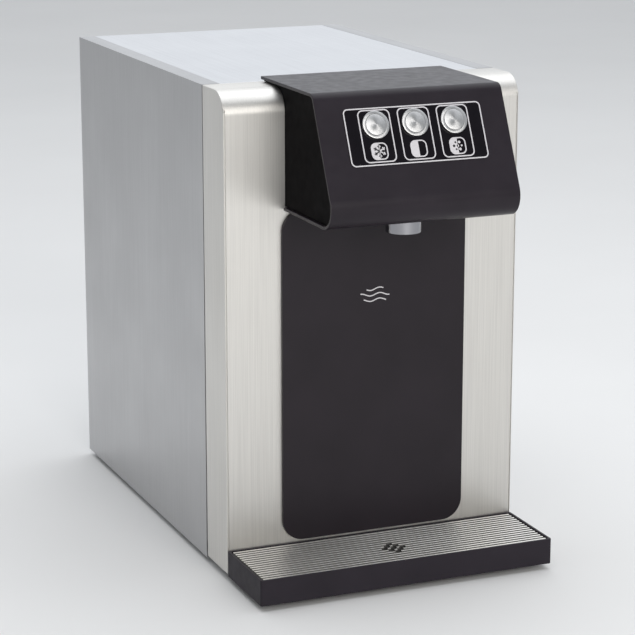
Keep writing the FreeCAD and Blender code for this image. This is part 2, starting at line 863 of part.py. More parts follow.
def screws():
    """Rear panel screws: a round head with a hexagon socket, and a shank."""
    solids = []
    for sign in "-+":
        for height in SCREW_HEIGHTS:
            x = f"{sign}{SCREW_X}"
            head = rod("screw_head", (x, REAR_FACE, height), "screw_head_high", "y")
            shank = rod("screw_radius", (x, f"{REAR_FACE} - screw_long", height), "screw_long", "y")
            socket = hexagon("socket_flats", (x, f"{REAR_FACE} + screw_head_high - socket_deep", height),
                             "socket_deep + overshoot", "y")
            solids.append(cut(fuse(head, shank), socket))
    piece("rear_screws", group(*solids))


def splash_plate():
    body = new_body()
    pad(body, "XZ", "-splash_thick", "0", [
        rectangle(("-splash_half", "splash_half"),
                  ("splash_low", "head_bottom - play * 2"), "splash_round")])
    piece("splash_plate", body)


front_panel()
side_panel("left_side_panel", -1)
side_panel("right_side_panel", 1)
top_panel()
rear_panel()
base_plate()
feet()
screws()
splash_plate()


# ---------------------------------------------------------------- head

def sloping_corner(z, inset, radius):
    """Where the sloping face, moved inwards, meets a level line."""
    return (face_y(z, inset), z, radius)


def head_shell():
    """One sheet bent over the top, down the slope and back under the head."""
    top, low = "head_top", "head_bottom"
    inner_top, inner_low = "head_top - head_gauge", "head_bottom + head_gauge"
    body = new_body()
    pad(body, "YZ", "-head_half", "head_half", [[
        ("head_back", top), sloping_corner(top, "0", "head_upper_bend"),
        sloping_corner(low, "0", "head_lower_bend"),
        ("-splash_thick - play", low), ("-splash_thick - play", inner_low),
        sloping_corner(inner_low, "head_gauge", "head_lower_bend - head_gauge"),
        sloping_corner(inner_top, "head_gauge", "head_upper_bend - head_gauge"),
        ("head_back", inner_top)]])
    tools = [rod("neck_radius + neck_gap", ("0", "-nozzle_y", "head_bottom - overshoot"),
                 "head_gauge + overshoot * 2")]
    for number in (-1, 0, 1):
        tool = rod("barrel_radius + play", ("0", "0", "0"), "head_gauge * 8")
        tool.Placement = Placement(Vector(), Rotation(Vector(1, 0, 0), 90))
        bind(tool, "Placement.Rotation.Angle", "90 - face_tilt")
        half = "head_gauge * 4"
        move(tool, (f"{number} * button_pitch",
                    f"{face_y('button_row_z')} + {half} * cos(face_tilt)",
                    f"button_row_z - {half} * sin(face_tilt)"))
        tools.append(tool)
    piece("head_shell", cut(body, *tools))


def head_cheek(label, x):
    """End plate inside the shell, fitted round the front panel's rounded top."""
    inset = "(head_gauge + cheek_gap)"
    top, low = f"head_top - {inset}", f"head_bottom + {inset}"
    body = new_body()
    pad(body, "YZ", *x, [[
        ("head_back - cheek_short", top),
        sloping_corner(top, inset, "head_upper_bend - head_gauge"),
        sloping_corner(low, inset, "head_lower_bend - head_gauge"),
        ("-cheek_gap", low),
        ("-cheek_gap", f"{CASE_TOP} + cheek_gap", "front_round + cheek_gap"),
        ("head_back - cheek_short", f"{CASE_TOP} + cheek_gap")]])
    piece(label, body)


def head_bracket():
    """Frame on the front panel round its window, with two ears that hold the head."""
    body = new_body()
    front, back = "-play - bracket_thick", "-play"
    low, high = "window_low - bracket_below", "window_high + bracket_above"
    edge = "(window_half + bracket_side)"
    pad(body, "XZ", front, back, [rectangle((f"-{edge}", edge), (low, high))])
    pocket(body, "XZ", f"{front} - overshoot", f"{back} + overshoot", [
        rectangle(("-window_half", "window_half"), ("window_low", "window_high"), "window_round")])
    for x in ((f"-{edge}", f"-{edge} + bracket_thick"), (f"{edge} - bracket_thick", edge)):
        pad(body, "YZ", *x, [[
            (front, low), (front, high), ("-ear_top", high), ("-ear_low", low, "ear_round")]])
    piece("head_bracket", body)


def button_label():
    """Thin label in the sloping face's own plane, x across and y up the slope."""
    body = new_body()
    pad(body, "XY", "0", "label_thick", [
        rectangle(("-label_half", "label_half"), ("-label_below", "label_above"), "label_round")])
    pocket(body, "XY", "-overshoot", "label_thick + overshoot", circles=[
        (f"{number} * button_pitch", "0", "barrel_radius + play") for number in (-1, 0, 1)])
    piece("button_label", body, "0", face_y("button_row_z"), "button_row_z", tilted=True)


def button(name, number):
    """Push switch through the sloping face: body, moving cap, return spring and nut."""
    where = (f"{number} * button_pitch", face_y("button_row_z"), "button_row_z")
    top = "label_thick + bezel_height"
    well = "cap_radius + cap_play"
    hole = "stem_radius + cap_play"
    switch = turned([
        ("0", "-barrel_length"), ("barrel_radius", "-barrel_length"),
        ("barrel_radius", "label_thick"), ("bezel_radius", "label_thick"),
        ("bezel_radius", top, "bezel_round"), (well, top, "well_round"), (well, "-cap_well"),
        (hole, "-cap_well"), (hole, "-stem_hole"), ("0", "-stem_hole")])
    piece(f"{name}_switch_body", switch, *where, tilted=True)

    cap_top = f"{top} - play"
    cap_low = f"{top} - cap_thick"
    cap = turned([
        ("0", f"{cap_low} - stem_length"), ("stem_radius", f"{cap_low} - stem_length"),
        ("stem_radius", cap_low), ("cap_radius", cap_low), ("cap_radius", cap_top, "cap_round"),
        ("cap_radius * 0.45", f"{cap_top} + cap_dome", "crown_round"),
        ("0", f"{cap_top} + cap_dome")])
    piece(f"{name}_button_cap", cap, *where, tilted=True)

    coil = helix_coil("spring_radius", "spring_pitch", "spring_turns", "spring_wire",
                      "-cap_well + spring_wire + play", segment=1)
    piece(f"{name}_button_spring", group(coil), *where, tilted=True)


def switch_nuts():
    solids = []
    for number in (-1, 0, 1):
        at = (f"{number} * button_pitch", "0", "-head_gauge - nut_thick - seat_gap")
        hole = rod("barrel_radius + fit_gap", at, "nut_thick")
        solids.append(cut(hexagon("nut_flats", at, "nut_thick"), hole))
    piece("switch_nuts", group(*solids), "0", face_y("button_row_z"), "button_row_z", tilted=True)


def nozzle():
    """Outlet: a thin-walled cup under the head, its neck, nut and flow diffuser."""
    inner = "(nozzle_radius - nozzle_wall)"
    cup = turned([
        ("outlet_radius", "-nozzle_wall * 1.5"), (inner, "-nozzle_wall * 1.5"),
        (inner, "-nozzle_drop"), ("nozzle_radius", "-nozzle_drop", "lip_round"),
        ("nozzle_radius", "0", "cup_round"), ("neck_radius", "0"), ("neck_radius", "neck_length"),
        ("outlet_radius", "neck_length")])
    piece("nozzle_body", cup, "0", "-nozzle_y", "head_bottom")

    body = new_body()
    low = "-nozzle_drop + nozzle_wall * 2"
    holes = [("0", "0", "diffuser_hole")]
    for ring, count in (("diffuser_inner", 6), ("diffuser_outer", 12)):
        for i in range(count):
            angle = 360 / count * i
            holes.append((f"{ring} * cos({angle})", f"{ring} * sin({angle})", "diffuser_hole"))
    high = f"{low} + diffuser_thick"
    pad(body, "XY", low, high, circles=[("0", "0", f"{inner} - fit_gap")])
    pocket(body, "XY", f"{low} - overshoot", f"{high} + overshoot", circles=holes)
    piece("nozzle_diffuser", body, "0", "-nozzle_y", "head_bottom")

    at = ("0", "-nozzle_y", "head_bottom + head_gauge + seat_gap")
    nut = cut(hexagon("neck_nut_flats", at, "nut_thick"),
              rod("neck_radius + fit_gap", at, "nut_thick"))
    piece("nozzle_nut", nut)


head_shell()
head_cheek("head_left_cheek", ("-head_half + cheek_inset", "-head_half + cheek_inset + cheek_thick"))
head_cheek("head_right_cheek", ("head_half - cheek_inset - cheek_thick", "head_half - cheek_inset"))
seal_half = "(head_half - cheek_inset - cheek_thick - cheek_gap)"
piece("head_seal", group(
    block((f"-{seal_half}", seal_half), ("front_round + seal_inset", "head_back - seal_inset"),
          (f"{CASE_TOP} + seat_gap", "head_top - head_gauge - seat_gap"))))
head_bracket()
button_label()
for number, name in enumerate(BUTTONS, start=-1):
    button(name, number)
switch_nuts()
nozzle()


# ---------------------------------------------------------------- drip tray

def drip_tray():
    """Open basin with a ledge for the grille and two tongues that enter the front panel."""
    low, high = "foot_height", "foot_height + tray_height"
    back = "-play * 2"
    ledge = "(tray_wall + tray_ledge)"
    body = new_body()
    pad(body, "XY", low, high, [
        rectangle((f"-{SIDE}", SIDE), ("-tray_depth", back), "tray_round")])
    pocket(body, "XY", f"{high} - tray_recess", f"{high} + overshoot", [
        rectangle((f"-{SIDE} + tray_wall", f"{SIDE} - tray_wall"),
                  ("-tray_depth + tray_wall", f"{back} - tray_wall"), "tray_round")])
    pocket(body, "XY", f"{low} + tray_floor", f"{high} - tray_recess + fuse_lap", [
        rectangle((f"-{SIDE} + {ledge}", f"{SIDE} - {ledge}"),
                  (f"-tray_depth + {ledge}", f"{back} - {ledge}"), "tray_round * 2")])
    for x in (("-tongue_to", "-tongue_from"), ("tongue_from", "tongue_to")):
        pad(body, "XY", "tongue_low", "tongue_high", [
            rectangle(x, (f"{back} - tray_wall", "tongue_reach"))])
    piece("drip_tray", body)


def drain_slots(row, count, wide):
    """Outlines of one row of slots in the drain cluster."""
    y = f"(-drain_y + {row} * rib_pitch)"
    return [rectangle((f"({i} - {count - 1} / 2) * drain_pitch - drain_slot / 2",
                       f"({i} - {count - 1} / 2) * drain_pitch + drain_slot / 2"),
                      (f"{y} - {wide} / 2", f"{y} + {wide} / 2"))
            for i in range(count)]


def drip_grille():
    """Ribbed plate on the tray's ledge. The drain slots cut through its ribs and narrow below."""
    gap = "(tray_wall + play * 2)"
    low = "(foot_height + tray_height - tray_recess + fit_gap)"
    top = f"({low} + grille_thick)"
    middle = "(-tray_depth / 2 - play)"
    half = f"({SIDE} - {gap})"
    body = new_body()
    pad(body, "XY", low, top, [
        rectangle((f"-{half}", half), (f"-tray_depth + {gap}", f"-play * 2 - {gap}"), "tray_round")])
    crest = f"{top} + rib_height"
    first = f"({middle} - rib_pitch * {RIBS - 1} / 2)"
    rib = pad(body, "YZ", f"-{half} + rib_short", f"{half} - rib_short", [[
        (f"{first} - rib_width / 2", f"{top} - fuse_lap"),
        (f"{first} + rib_width / 2", f"{top} - fuse_lap"),
        (f"{first} + rib_crown / 2", crest, "rib_round"),
        (f"{first} - rib_crown / 2", crest, "rib_round")]])
    repeat(body, rib, "Y", f"rib_pitch * {RIBS - 1}", RIBS)
    for row, count in enumerate((1, 2, 3, 2, 1), start=-2):
        pocket(body, "XY", f"{top} - fuse_lap", f"{crest} + overshoot",
               drain_slots(row, count, "drain_slot_wide"))
        pocket(body, "XY", f"{low} - overshoot", f"{crest} + overshoot",
               drain_slots(row, count, "drain_throat"))
    piece("drip_grille", body)


drip_tray()
drip_grille()
piece("tray_pads", group(*[
    rod("tray_pad_radius", (x, "-tray_depth / 2", "0"), "foot_height")
    for x in ("-tray_pad_across", "tray_pad_across")]))


# ---------------------------------------------------------------- chilled water tank

def square(half):
    """Square outline round the tank's centre."""
    return rectangle((f"-tank_x - {half}", f"-tank_x + {half}"),
                     (f"tank_y - {half}", f"tank_y + {half}"), "tank_round")


def tank():
    """Foam jacket, inner tank and foam lid with its passages."""
    jacket = new_body()
    pad(jacket, "XY", "tank_low", "tank_high", [square("tank_outer / 2")])
    pocket(jacket, "XY", "tank_low + tank_foam", "tank_high + overshoot", [square(TANK_IN)])
    piece("tank_insulation", jacket)
    inner = new_body()
    low = "tank_low + tank_foam + play"
    pad(inner, "XY", low, "tank_high - play", [square(f"({TANK_IN} - play)")])
    pocket(inner, "XY", f"{low} + tank_wall", "tank_high + overshoot", [
        square(f"({TANK_IN} - play - tank_wall)")])
    piece("cold_tank", inner)
    lid = new_body()
    pad(lid, "XY", "tank_high + play", LID_TOP, [square("tank_outer / 2")])
    pocket(lid, "XY", "tank_high", f"{LID_TOP} + overshoot", circles=[
        (MOTOR_X, "tank_y", "motor_shaft + shaft_way"),
        (CARBONATOR_X, "tank_y", "hose_radius + play"),
        ("-tank_x + evaporator_radius", "tank_y", "evaporator_tube + play"),
        (COIL_X, COIL_Y, "hose_radius + play")])
    piece("tank_lid", lid)


def tank_coils():
    """Evaporator and drinking-water coil, one inside the other."""
    low = "tank_low + tank_foam + tank_wall + evaporator_tube * 3"
    evaporator = helix_coil("evaporator_radius", "evaporator_pitch", "evaporator_turns",
                            "evaporator_tube", low)
    riser_low = f"{low} + evaporator_pitch * evaporator_turns"
    riser = rod("evaporator_tube", ("evaporator_radius", "0", riser_low),
                f"tank_high + lid_thick + evaporator_rise - ({riser_low})")
    piece("evaporator_coil", fuse(evaporator, riser), "-tank_x", "tank_y")
    water = helix_coil("water_coil_radius", "water_coil_pitch", "water_coil_turns",
                       "water_coil_tube", low)
    piece("water_coil", group(water), "-tank_x", "tank_y", low)


def carbonator():
    """Domed steel vessel where gas meets cold water, with a neck through the lid."""
    round_end = "carbonator_radius * 0.6"
    vessel = turned([
        ("0", "0"), ("carbonator_radius", "0", round_end),
        ("carbonator_radius", "carbonator_height", round_end), ("hose_radius", "carbonator_height"),
        ("hose_radius", f"{CARBONATOR_HIGH} - {CARBONATOR_LOW}"),
        ("0", f"{CARBONATOR_HIGH} - {CARBONATOR_LOW}")])
    piece("carbonator", vessel, CARBONATOR_X, "tank_y", CARBONATOR_LOW)


def agitator():
    """Small motor on the lid that keeps the tank's water moving round its ice bank."""
    at = (MOTOR_X, "tank_y", LID_TOP)
    housing = cut(rod("motor_radius", at, "motor_height"),
                  rod("motor_shaft + shaft_play", at, "motor_height / 2"))
    piece("agitator_motor", housing)
    shaft = rod("motor_shaft", (MOTOR_X, "tank_y", "agitator_low"),
                f"{LID_TOP} + motor_height / 2 - end_gap - agitator_low")
    blades = [block((f"{MOTOR_X} - {half_x}", f"{MOTOR_X} + {half_x}"),
                    (f"tank_y - {half_y}", f"tank_y + {half_y}"),
                    ("agitator_low", "agitator_low + paddle_high"))
              for half_x, half_y in (("paddle_reach", "paddle_thick / 2"),
                                     ("paddle_thick / 2", "paddle_reach"))]
    piece("agitator_rotor", fuse(shaft, *blades))


tank()
tank_coils()
carbonator()
agitator()


# ---------------------------------------------------------------- refrigeration

def compressor():
    """Hermetic shell welded at its waist, on a foot bar with four rubber mounts."""
    radius = "compressor_radius"
    waist = "(compressor_low + (compressor_high - compressor_low) * 0.55)"
    shell = turned([
        ("0", "compressor_low"), (radius, "compressor_low", "shell_foot_round"),
        (radius, f"{waist} - weld_half"), (f"{radius} + weld_ring", f"{waist} - weld_half"),
        (f"{radius} + weld_ring", f"{waist} + weld_half"), (radius, f"{waist} + weld_half"),
        (radius, "compressor_high", "shell_dome_round"), ("0", "compressor_high")])
    shell.Placement = Placement(Vector(), Rotation())
    move(shell, ("-compressor_x", "compressor_y", "0"))
    across, along = "(mount_across + mount_edge)", "(mount_along + mount_edge)"
    bar = block((f"-compressor_x - {across}", f"-compressor_x + {across}"),
                (f"compressor_y - {along}", f"compressor_y + {along}"),
                ("compressor_low - base_bar", "compressor_low + fuse_lap"))
    pipes = [rod("evaporator_tube", (f"-compressor_x + {x} * stub_across", "compressor_y - stub_forward",
                                     "compressor_high - stub_sunk"), "stub_sunk + stub_proud")
             for x in (-1, 1)]
    holes = [rod("grommet_radius / 2", (f"-compressor_x + {x} * mount_across",
                                        f"compressor_y + {y} * mount_along",
                                        "compressor_low - base_bar - overshoot"),
                 "base_bar + overshoot * 2")
             for x in (-1, 1) for y in (-1, 1)]
    piece("compressor", cut(fuse(shell, bar, *pipes), *holes))


def compressor_mounts():
    solids = []
    for x in (-1, 1):
        for y in (-1, 1):
            at = (f"-compressor_x + {x} * mount_across", f"compressor_y + {y} * mount_along", FLOOR_TOP)
            solids.append(fuse(
                rod("grommet_radius", at, f"compressor_low - base_bar - {FLOOR_TOP} - seat_gap"),
                rod("grommet_radius / 2 - play", at, f"compressor_low - {FLOOR_TOP}")))
    piece("compressor_mounts", group(*solids))


def condenser():
    """Upright fins crossed by two columns of tubes."""
    body = new_body()
    start = f"fan_x - fin_pitch * {FINS - 1} / 2"
    fin = pad(body, "YZ", start, f"{start} + fin_thick", [
        rectangle(("fin_front", "fin_back"), ("fin_low", "fin_high"))])
    repeat(body, fin, "X", f"fin_pitch * {FINS - 1}", FINS)
    tubes_at = [(f"fin_front + (fin_back - fin_front) * {column}",
                 f"fin_low + fin_tube_low + {row} * fin_tube_pitch", "fin_tube")
                for column in (0.25, 0.75) for row in range(FIN_TUBES)]
    reach = f"fin_pitch * {FINS} / 2"
    pad(body, "YZ", f"fan_x - {reach}", f"fan_x + {reach}", circles=tubes_at)
    piece("condenser", body)


def fan():
    """Square axial fan: frame with spokes behind, and a seven-blade rotor."""
    frame = new_body()
    half = "fan_size / 2"
    back = "fan_front + fan_depth"
    pad(frame, "XZ", "fan_front", back, [
        rectangle((f"fan_x - {half}", f"fan_x + {half}"), (f"fan_z - {half}", f"fan_z + {half}"),
                  "fan_round")], [("fan_x", "fan_z", "fan_bore")])
    reach = "(fan_bore + spoke_lap)"
    for half_x, half_z in (("spoke_half", reach), (reach, "spoke_half")):
        pad(frame, "XZ", f"{back} - spoke_deep", back, [
            rectangle((f"fan_x - {half_x}", f"fan_x + {half_x}"),
                      (f"fan_z - {half_z}", f"fan_z + {half_z}"))])
    pad(frame, "XZ", f"{back} - spoke_deep", back, circles=[("fan_x", "fan_z", "fan_hub")])
    pad(frame, "XZ", f"{back} - fan_pin", back, circles=[("fan_x", "fan_z", "motor_shaft")])
    piece("fan_frame", frame)

    hub_front, hub_back = "fan_front + hub_inset", f"{back} - spoke_deep - end_gap"
    hub = cut(rod("fan_hub", ("fan_x", hub_front, "fan_z"), f"{hub_back} - ({hub_front})", "y"),
              rod("motor_shaft + shaft_play", ("fan_x", f"{back} - fan_pin - end_gap", "fan_z"),
                  "fan_pin", "y"))
    half_chord = math.cos(math.radians(SIZES["blade_pitch"])) / 2
    root = "(fan_hub - blade_root)"
    blades = []
    for number in range(FAN_BLADES):
        blade = document.addObject("Part::Box", "Blade")
        bind(blade, "Length", "blade_chord")
        bind(blade, "Width", "blade_thick")
        bind(blade, "Height", f"blade_reach - {root}")
        around = Rotation(Vector(0, 1, 0), 360 / FAN_BLADES * number)
        blade.Placement = Placement(Vector(), around * Rotation(Vector(0, 0, 1), SIZES["blade_pitch"]))
        side = around.multVec(Vector(-half_chord, 0, 0))
        out = around.multVec(Vector(0, 0, 1))
        move(blade, (f"fan_x + blade_chord * {side.x} + {root} * {out.x}",
                     "fan_front + blade_inset",
                     f"fan_z + blade_chord * {side.z} + {root} * {out.z}"))
        blades.append(blade)
    piece("fan_rotor", fuse(hub, *blades))


def filter_drier():
    """Copper capsule in the liquid line between condenser and evaporator."""
    shoulder = "(drier_stub + drier_taper)"
    capsule = turned([
        ("0", "0"), ("line_radius", "0"), ("line_radius", "drier_stub"), ("drier_radius", shoulder),
        ("drier_radius", f"drier_long - {shoulder}"), ("line_radius", "drier_long - drier_stub"),
        ("line_radius", "drier_long"), ("0", "drier_long")])
    piece("filter_drier", capsule, "drier_x", "drier_y", "drier_low")


compressor()
compressor_mounts()
condenser()
fan()
filter_drier()


# ---------------------------------------------------------------- water and gas

def pump():
    """Upright motor with a foot flange, and the rotary vane pump clamped on it."""
    at = ("pump_x", "pump_y", FLOOR_TOP)
    piece("pump_motor", fuse(
        rod("pump_radius", at, f"pump_motor_high - {FLOOR_TOP}"),
        rod("pump_radius + pump_foot", at, "gauge * 2")))
    low = "pump_motor_high + seat_gap"
    head = fuse(
        rod("pump_head_radius", ("pump_x", "pump_y", low), f"pump_head_high - ({low})"),
        rod("hose_radius * 1.8", ("pump_x", "pump_y - pump_port", PUMP_PORT_Z), "pump_port * 2", "y"))
    piece("pump_head", head)


def valves():
    """Manifold behind the front panel with one solenoid valve for each kind of water."""
    front = "(gauge + valve_gap)"
    block_y = (front, f"{front} + valve_deep")
    bores = [rod("hose_radius",
                 (f"{x} * coil_pitch", f"{front} - overshoot", "valve_low + valve_height / 2"),
                 "valve_bore + overshoot", "y")
             for x in (-1, 0, 1)]
    manifold = cut(block(("-valve_half", "valve_half"), block_y, ("valve_low", VALVE_TOP)), *bores)
    piece("valve_manifold", manifold)
    coils = []
    for x in (-1, 0, 1):
        middle = f"{x} * coil_pitch"
        coils.append(fuse(
            block((f"{middle} - coil_size / 2", f"{middle} + coil_size / 2"), block_y,
                  (f"{VALVE_TOP} + coil_lift", f"{VALVE_TOP} + coil_lift + coil_size")),
            rod("hose_radius * 1.5", (middle, VALVE_Y, f"{VALVE_TOP} + seat_gap"),
                "coil_size + core_proud")))
    piece("solenoid_coils", group(*coils))


def fitting(label, x):
    """Bulkhead push-in fitting for an 8 mm tube: collar, neck through the panel and nut."""
    body = new_body()
    pad(body, "XZ", REAR_FACE, "case_depth + rear_reach", circles=[(x, "fitting_z", "fitting_radius")])
    pad(body, "XZ", "case_depth - fitting_tail", REAR_FACE, circles=[(x, "fitting_z", "fitting_neck")])
    pocket(body, "XZ", f"{REAR_FACE} + fitting_stop", "case_depth + rear_reach + overshoot",
           circles=[(x, "fitting_z", "fitting_bore")])
    pocket(body, "XZ", "case_depth - fitting_tail - overshoot", REAR_FACE,
           circles=[(x, "fitting_z", "hose_radius * 0.7")])
    piece(label, body)


def hoses():
    """Water in to the pump, pump to tank, valves to nozzle, and gas to the carbonator."""
    inlet_end = "case_depth - fitting_tail - play"
    stem_top = f"{VALVE_TOP} + seat_gap + coil_size + core_proud + play"
    outlet_z = f"{stem_top} + nozzle_hose_rise"
    tubes("hoses", [
        [("water_x", inlet_end, "fitting_z"), ("water_x", "inlet_turn", "fitting_z"),
         ("pump_x", "pump_turn", PUMP_PORT_Z), ("pump_x", "pump_y + pump_port + play", PUMP_PORT_Z)],
        [("pump_x", "pump_y - pump_port - play", PUMP_PORT_Z), ("pump_x", "hose_front", PUMP_PORT_Z),
         ("pump_x", "hose_front", "hose_level"), (COIL_X, "hose_turn", "hose_level"),
         (COIL_X, COIL_Y, "hose_level"), (COIL_X, COIL_Y, "tank_high - hose_dip")],
        [("0", VALVE_Y, stem_top), ("0", VALVE_Y, outlet_z), ("0", "-nozzle_y", outlet_z),
         ("0", "-nozzle_y", "head_bottom + neck_length + play")],
        [("gas_x", inlet_end, "fitting_z"), ("gas_x", "gas_rise_low", "fitting_z"),
         ("gas_x", "gas_rise_high", "gas_level"), (CARBONATOR_X, "gas_turn_y", "gas_level"),
         (CARBONATOR_X, "tank_y", "gas_level"), (CARBONATOR_X, "tank_y", f"{CARBONATOR_HIGH} + play")]],
          "hose_radius", "hose_radius * 2.5")


def copper_lines():
    """Hot gas to the condenser, liquid to the evaporator, and the start of the suction line."""
    riser = "-tank_x + evaporator_radius"
    riser_top = "tank_high + lid_thick + evaporator_rise + play"
    level = f"{riser_top} + liquid_rise"
    hot, cold = "-compressor_x + stub_across", "-compressor_x - stub_across"
    stub_y = "compressor_y - stub_forward"
    stub_top = "compressor_high + stub_proud + play"
    fin_y = "(fin_front + fin_back) / 2"
    drier_top = "drier_low + drier_long + play"
    tubes("refrigerant_lines", [
        [(hot, stub_y, stub_top), (hot, stub_y, "gas_line_level"),
         ("drier_x", "gas_line_turn", "gas_line_level"), ("gas_line_x", fin_y, "gas_line_level"),
         ("gas_line_x", fin_y, "fin_high + play")],
        [("drier_x", "drier_y", drier_top), ("drier_x", "drier_y", level), (riser, "tank_y", level),
         (riser, "tank_y", riser_top)],
        [(cold, stub_y, stub_top), (cold, stub_y, "suction_level"),
         (cold, "suction_end", "suction_level")]],
          "line_radius", "line_radius * 3")


pump()
valves()
fitting("water_inlet_fitting", "water_x")
fitting("gas_inlet_fitting", "gas_x")
hoses()
copper_lines()


# ---------------------------------------------------------------- electrical

def electronics():
    """Shelf between the side flanges of the case, and the board that stands on it."""
    shelf = new_body()
    edge = f"({INSIDE} - gauge * 2)"
    depth = ("shelf_front", "shelf_back")
    pad(shelf, "XY", "shelf_low", "shelf_low + gauge", [rectangle((f"-{edge}", "shelf_right"), depth)])
    pad(shelf, "YZ", f"-{edge}", f"-{edge} + gauge", [
        rectangle(depth, ("shelf_low", "shelf_low + shelf_lip"))])
    piece("electronics_shelf", shelf)

    low = "(shelf_low + gauge)"
    base = f"({low} + board_lift)"
    face = f"({base} + board_thick)"
    posts = [rod("post_radius", (x, y, f"{low} + seat_gap"), "board_lift + fuse_lap")
             for x in ("-board_left + post_inset", "-board_right - post_inset")
             for y in ("board_front + post_inset", "board_back - post_inset")]
    relays = []
    for number in range(3):
        start = f"-relay_from + {number} * relay_pitch"
        relays.append(block((start, f"{start} + relay_long"),
                            ("board_front + converter_inset", "board_front + converter_inset + relay_wide"),
                            (f"{face} - fuse_lap", f"{face} - fuse_lap + relay_high")))
    converter = block(("-board_left + converter_inset", "-board_left + converter_inset + converter_long"),
                      ("board_back - converter_inset - converter_wide", "board_back - converter_inset"),
                      (f"{face} - fuse_lap", f"{face} - fuse_lap + converter_high"))
    board = block(("-board_left", "-board_right"), ("board_front", "board_back"), (base, face))
    piece("control_board", fuse(board, *posts, *relays, converter))


def power_inlet():
    """C14 appliance inlet: flange, body through the panel, recess and three pins."""
    def limits(middle, size):
        """Limits of a length set evenly about a middle."""
        return (f"{middle} - {size} / 2", f"{middle} + {size} / 2")

    body = new_body()
    pad(body, "XZ", REAR_FACE, f"{REAR_FACE} + inlet_lip", [
        rectangle(limits("-inlet_x", "inlet_flange"), limits("inlet_z", "inlet_flange_high"),
                  "inlet_round")])
    pad(body, "XZ", f"{REAR_FACE} - inlet_deep", REAR_FACE, [
        rectangle(limits("-inlet_x", "inlet_body"), limits("inlet_z", "inlet_body_high"),
                  "inlet_corner")])
    pocket(body, "XZ", f"{REAR_FACE} - inlet_well_deep", f"{REAR_FACE} + inlet_lip + overshoot", [
        rectangle(limits("-inlet_x", "inlet_well"), limits("inlet_z", "inlet_well_high"),
                  "inlet_corner")])
    pins = [rectangle(limits(f"-inlet_x + {side} * pin_across", "pin_thick"),
                      limits(f"inlet_z + {lift} * earth_lift", "pin_high"))
            for side, lift in ((-1, 0), (0, 1), (1, 0))]
    pad(body, "XZ", f"{REAR_FACE} - inlet_tail", REAR_FACE, pins)
    piece("power_inlet", body)


def power_switch():
    """Rocker switch: frame in the panel and a two-faced rocker on a pin."""
    inner = ("-switch_x - rocker_wide / 2 - play", "-switch_x + rocker_wide / 2 + play")
    well = ("inlet_z - rocker_half - rocker_end_gap", "inlet_z + rocker_half + rocker_end_gap")
    frame = new_body()
    pad(frame, "XZ", REAR_FACE, f"{REAR_FACE} + switch_lip", [
        rectangle(("-switch_x - rocker_wide / 2 - switch_rim", "-switch_x + rocker_wide / 2 + switch_rim"),
                  ("inlet_z - rocker_half - switch_rim_end", "inlet_z + rocker_half + switch_rim_end"),
                  "switch_corner")])
    pad(frame, "XZ", f"{REAR_FACE} - switch_deep", REAR_FACE, [
        rectangle(("-switch_x - rocker_wide / 2 - switch_wall", "-switch_x + rocker_wide / 2 + switch_wall"),
                  ("inlet_z - rocker_half - switch_end", "inlet_z + rocker_half + switch_end"))])
    pocket(frame, "XZ", f"{REAR_FACE} - switch_well", f"{REAR_FACE} + switch_lip + overshoot", [
        rectangle(inner, well)])
    pad(frame, "YZ", *inner, circles=[(REAR_FACE, "inlet_z", "dial_shaft / 2")])
    piece("power_switch_frame", frame)

    rocker = new_body()
    half = "rocker_half"
    peak = f"rocker_rise + {half} * tan(rocker_throw)"
    pad(rocker, "YZ", "-rocker_wide / 2", "rocker_wide / 2", [[
        ("rocker_rise", "0"), (peak, half), ("0", half), ("-rocker_deep", f"{half} * 0.45"),
        ("-rocker_deep", f"-{half} * 0.45"), ("0", f"-{half}"), (peak, f"-{half}")]],
        [("0", "0", "dial_shaft / 2 + shaft_play")])
    piece("power_switch_rocker", rocker)
    rocker.Placement = Placement(Vector(), Rotation(Vector(1, 0, 0), SIZES["rocker_throw"]))
    bind(rocker, "Placement.Rotation.Angle", "rocker_throw")
    move(rocker, ("-switch_x", f"{FRONT_Y} + {REAR_FACE}", "inlet_z"))


def thermostat():
    """Capillary thermostat behind the panel, and its fluted dial outside."""
    body_y = (f"{REAR_INNER} - thermostat_gap - thermostat_deep", f"{REAR_INNER} - thermostat_gap")
    housing = block(("dial_x - thermostat_half", "dial_x + thermostat_half"), body_y,
                    ("inlet_z - thermostat_half", "inlet_z + thermostat_half"))
    bush = rod("dial_shaft + dial_bush", ("dial_x", f"{body_y[1]} - fuse_lap", "inlet_z"),
               "thermostat_gap + gauge + fuse_lap", "y")
    way = rod("dial_shaft + shaft_play", ("dial_x", f"{REAR_INNER} - dial_tail - end_gap", "inlet_z"),
              "dial_tail + end_gap + gauge + overshoot", "y")
    piece("thermostat_body", cut(fuse(housing, bush), way))

    low = f"{REAR_FACE} + dial_gap"
    knob = new_body()
    pad(knob, "XZ", low, f"{low} + dial_high", circles=[("dial_x", "inlet_z", "dial_radius")])
    pad(knob, "XZ", f"{REAR_INNER} - dial_tail", low, circles=[("dial_x", "inlet_z", "dial_shaft")])
    flutes = [(f"dial_x + (dial_radius + flute_out) * cos({angle})",
               f"inlet_z + (dial_radius + flute_out) * sin({angle})", "flute_radius")
              for angle in range(15, 345, 30)]
    pocket(knob, "XZ", f"{low} + dial_skirt", f"{low} + dial_high + overshoot", circles=flutes)
    piece("thermostat_knob", knob)


electronics()
power_inlet()
power_switch()
thermostat()


# ---------------------------------------------------------------- export

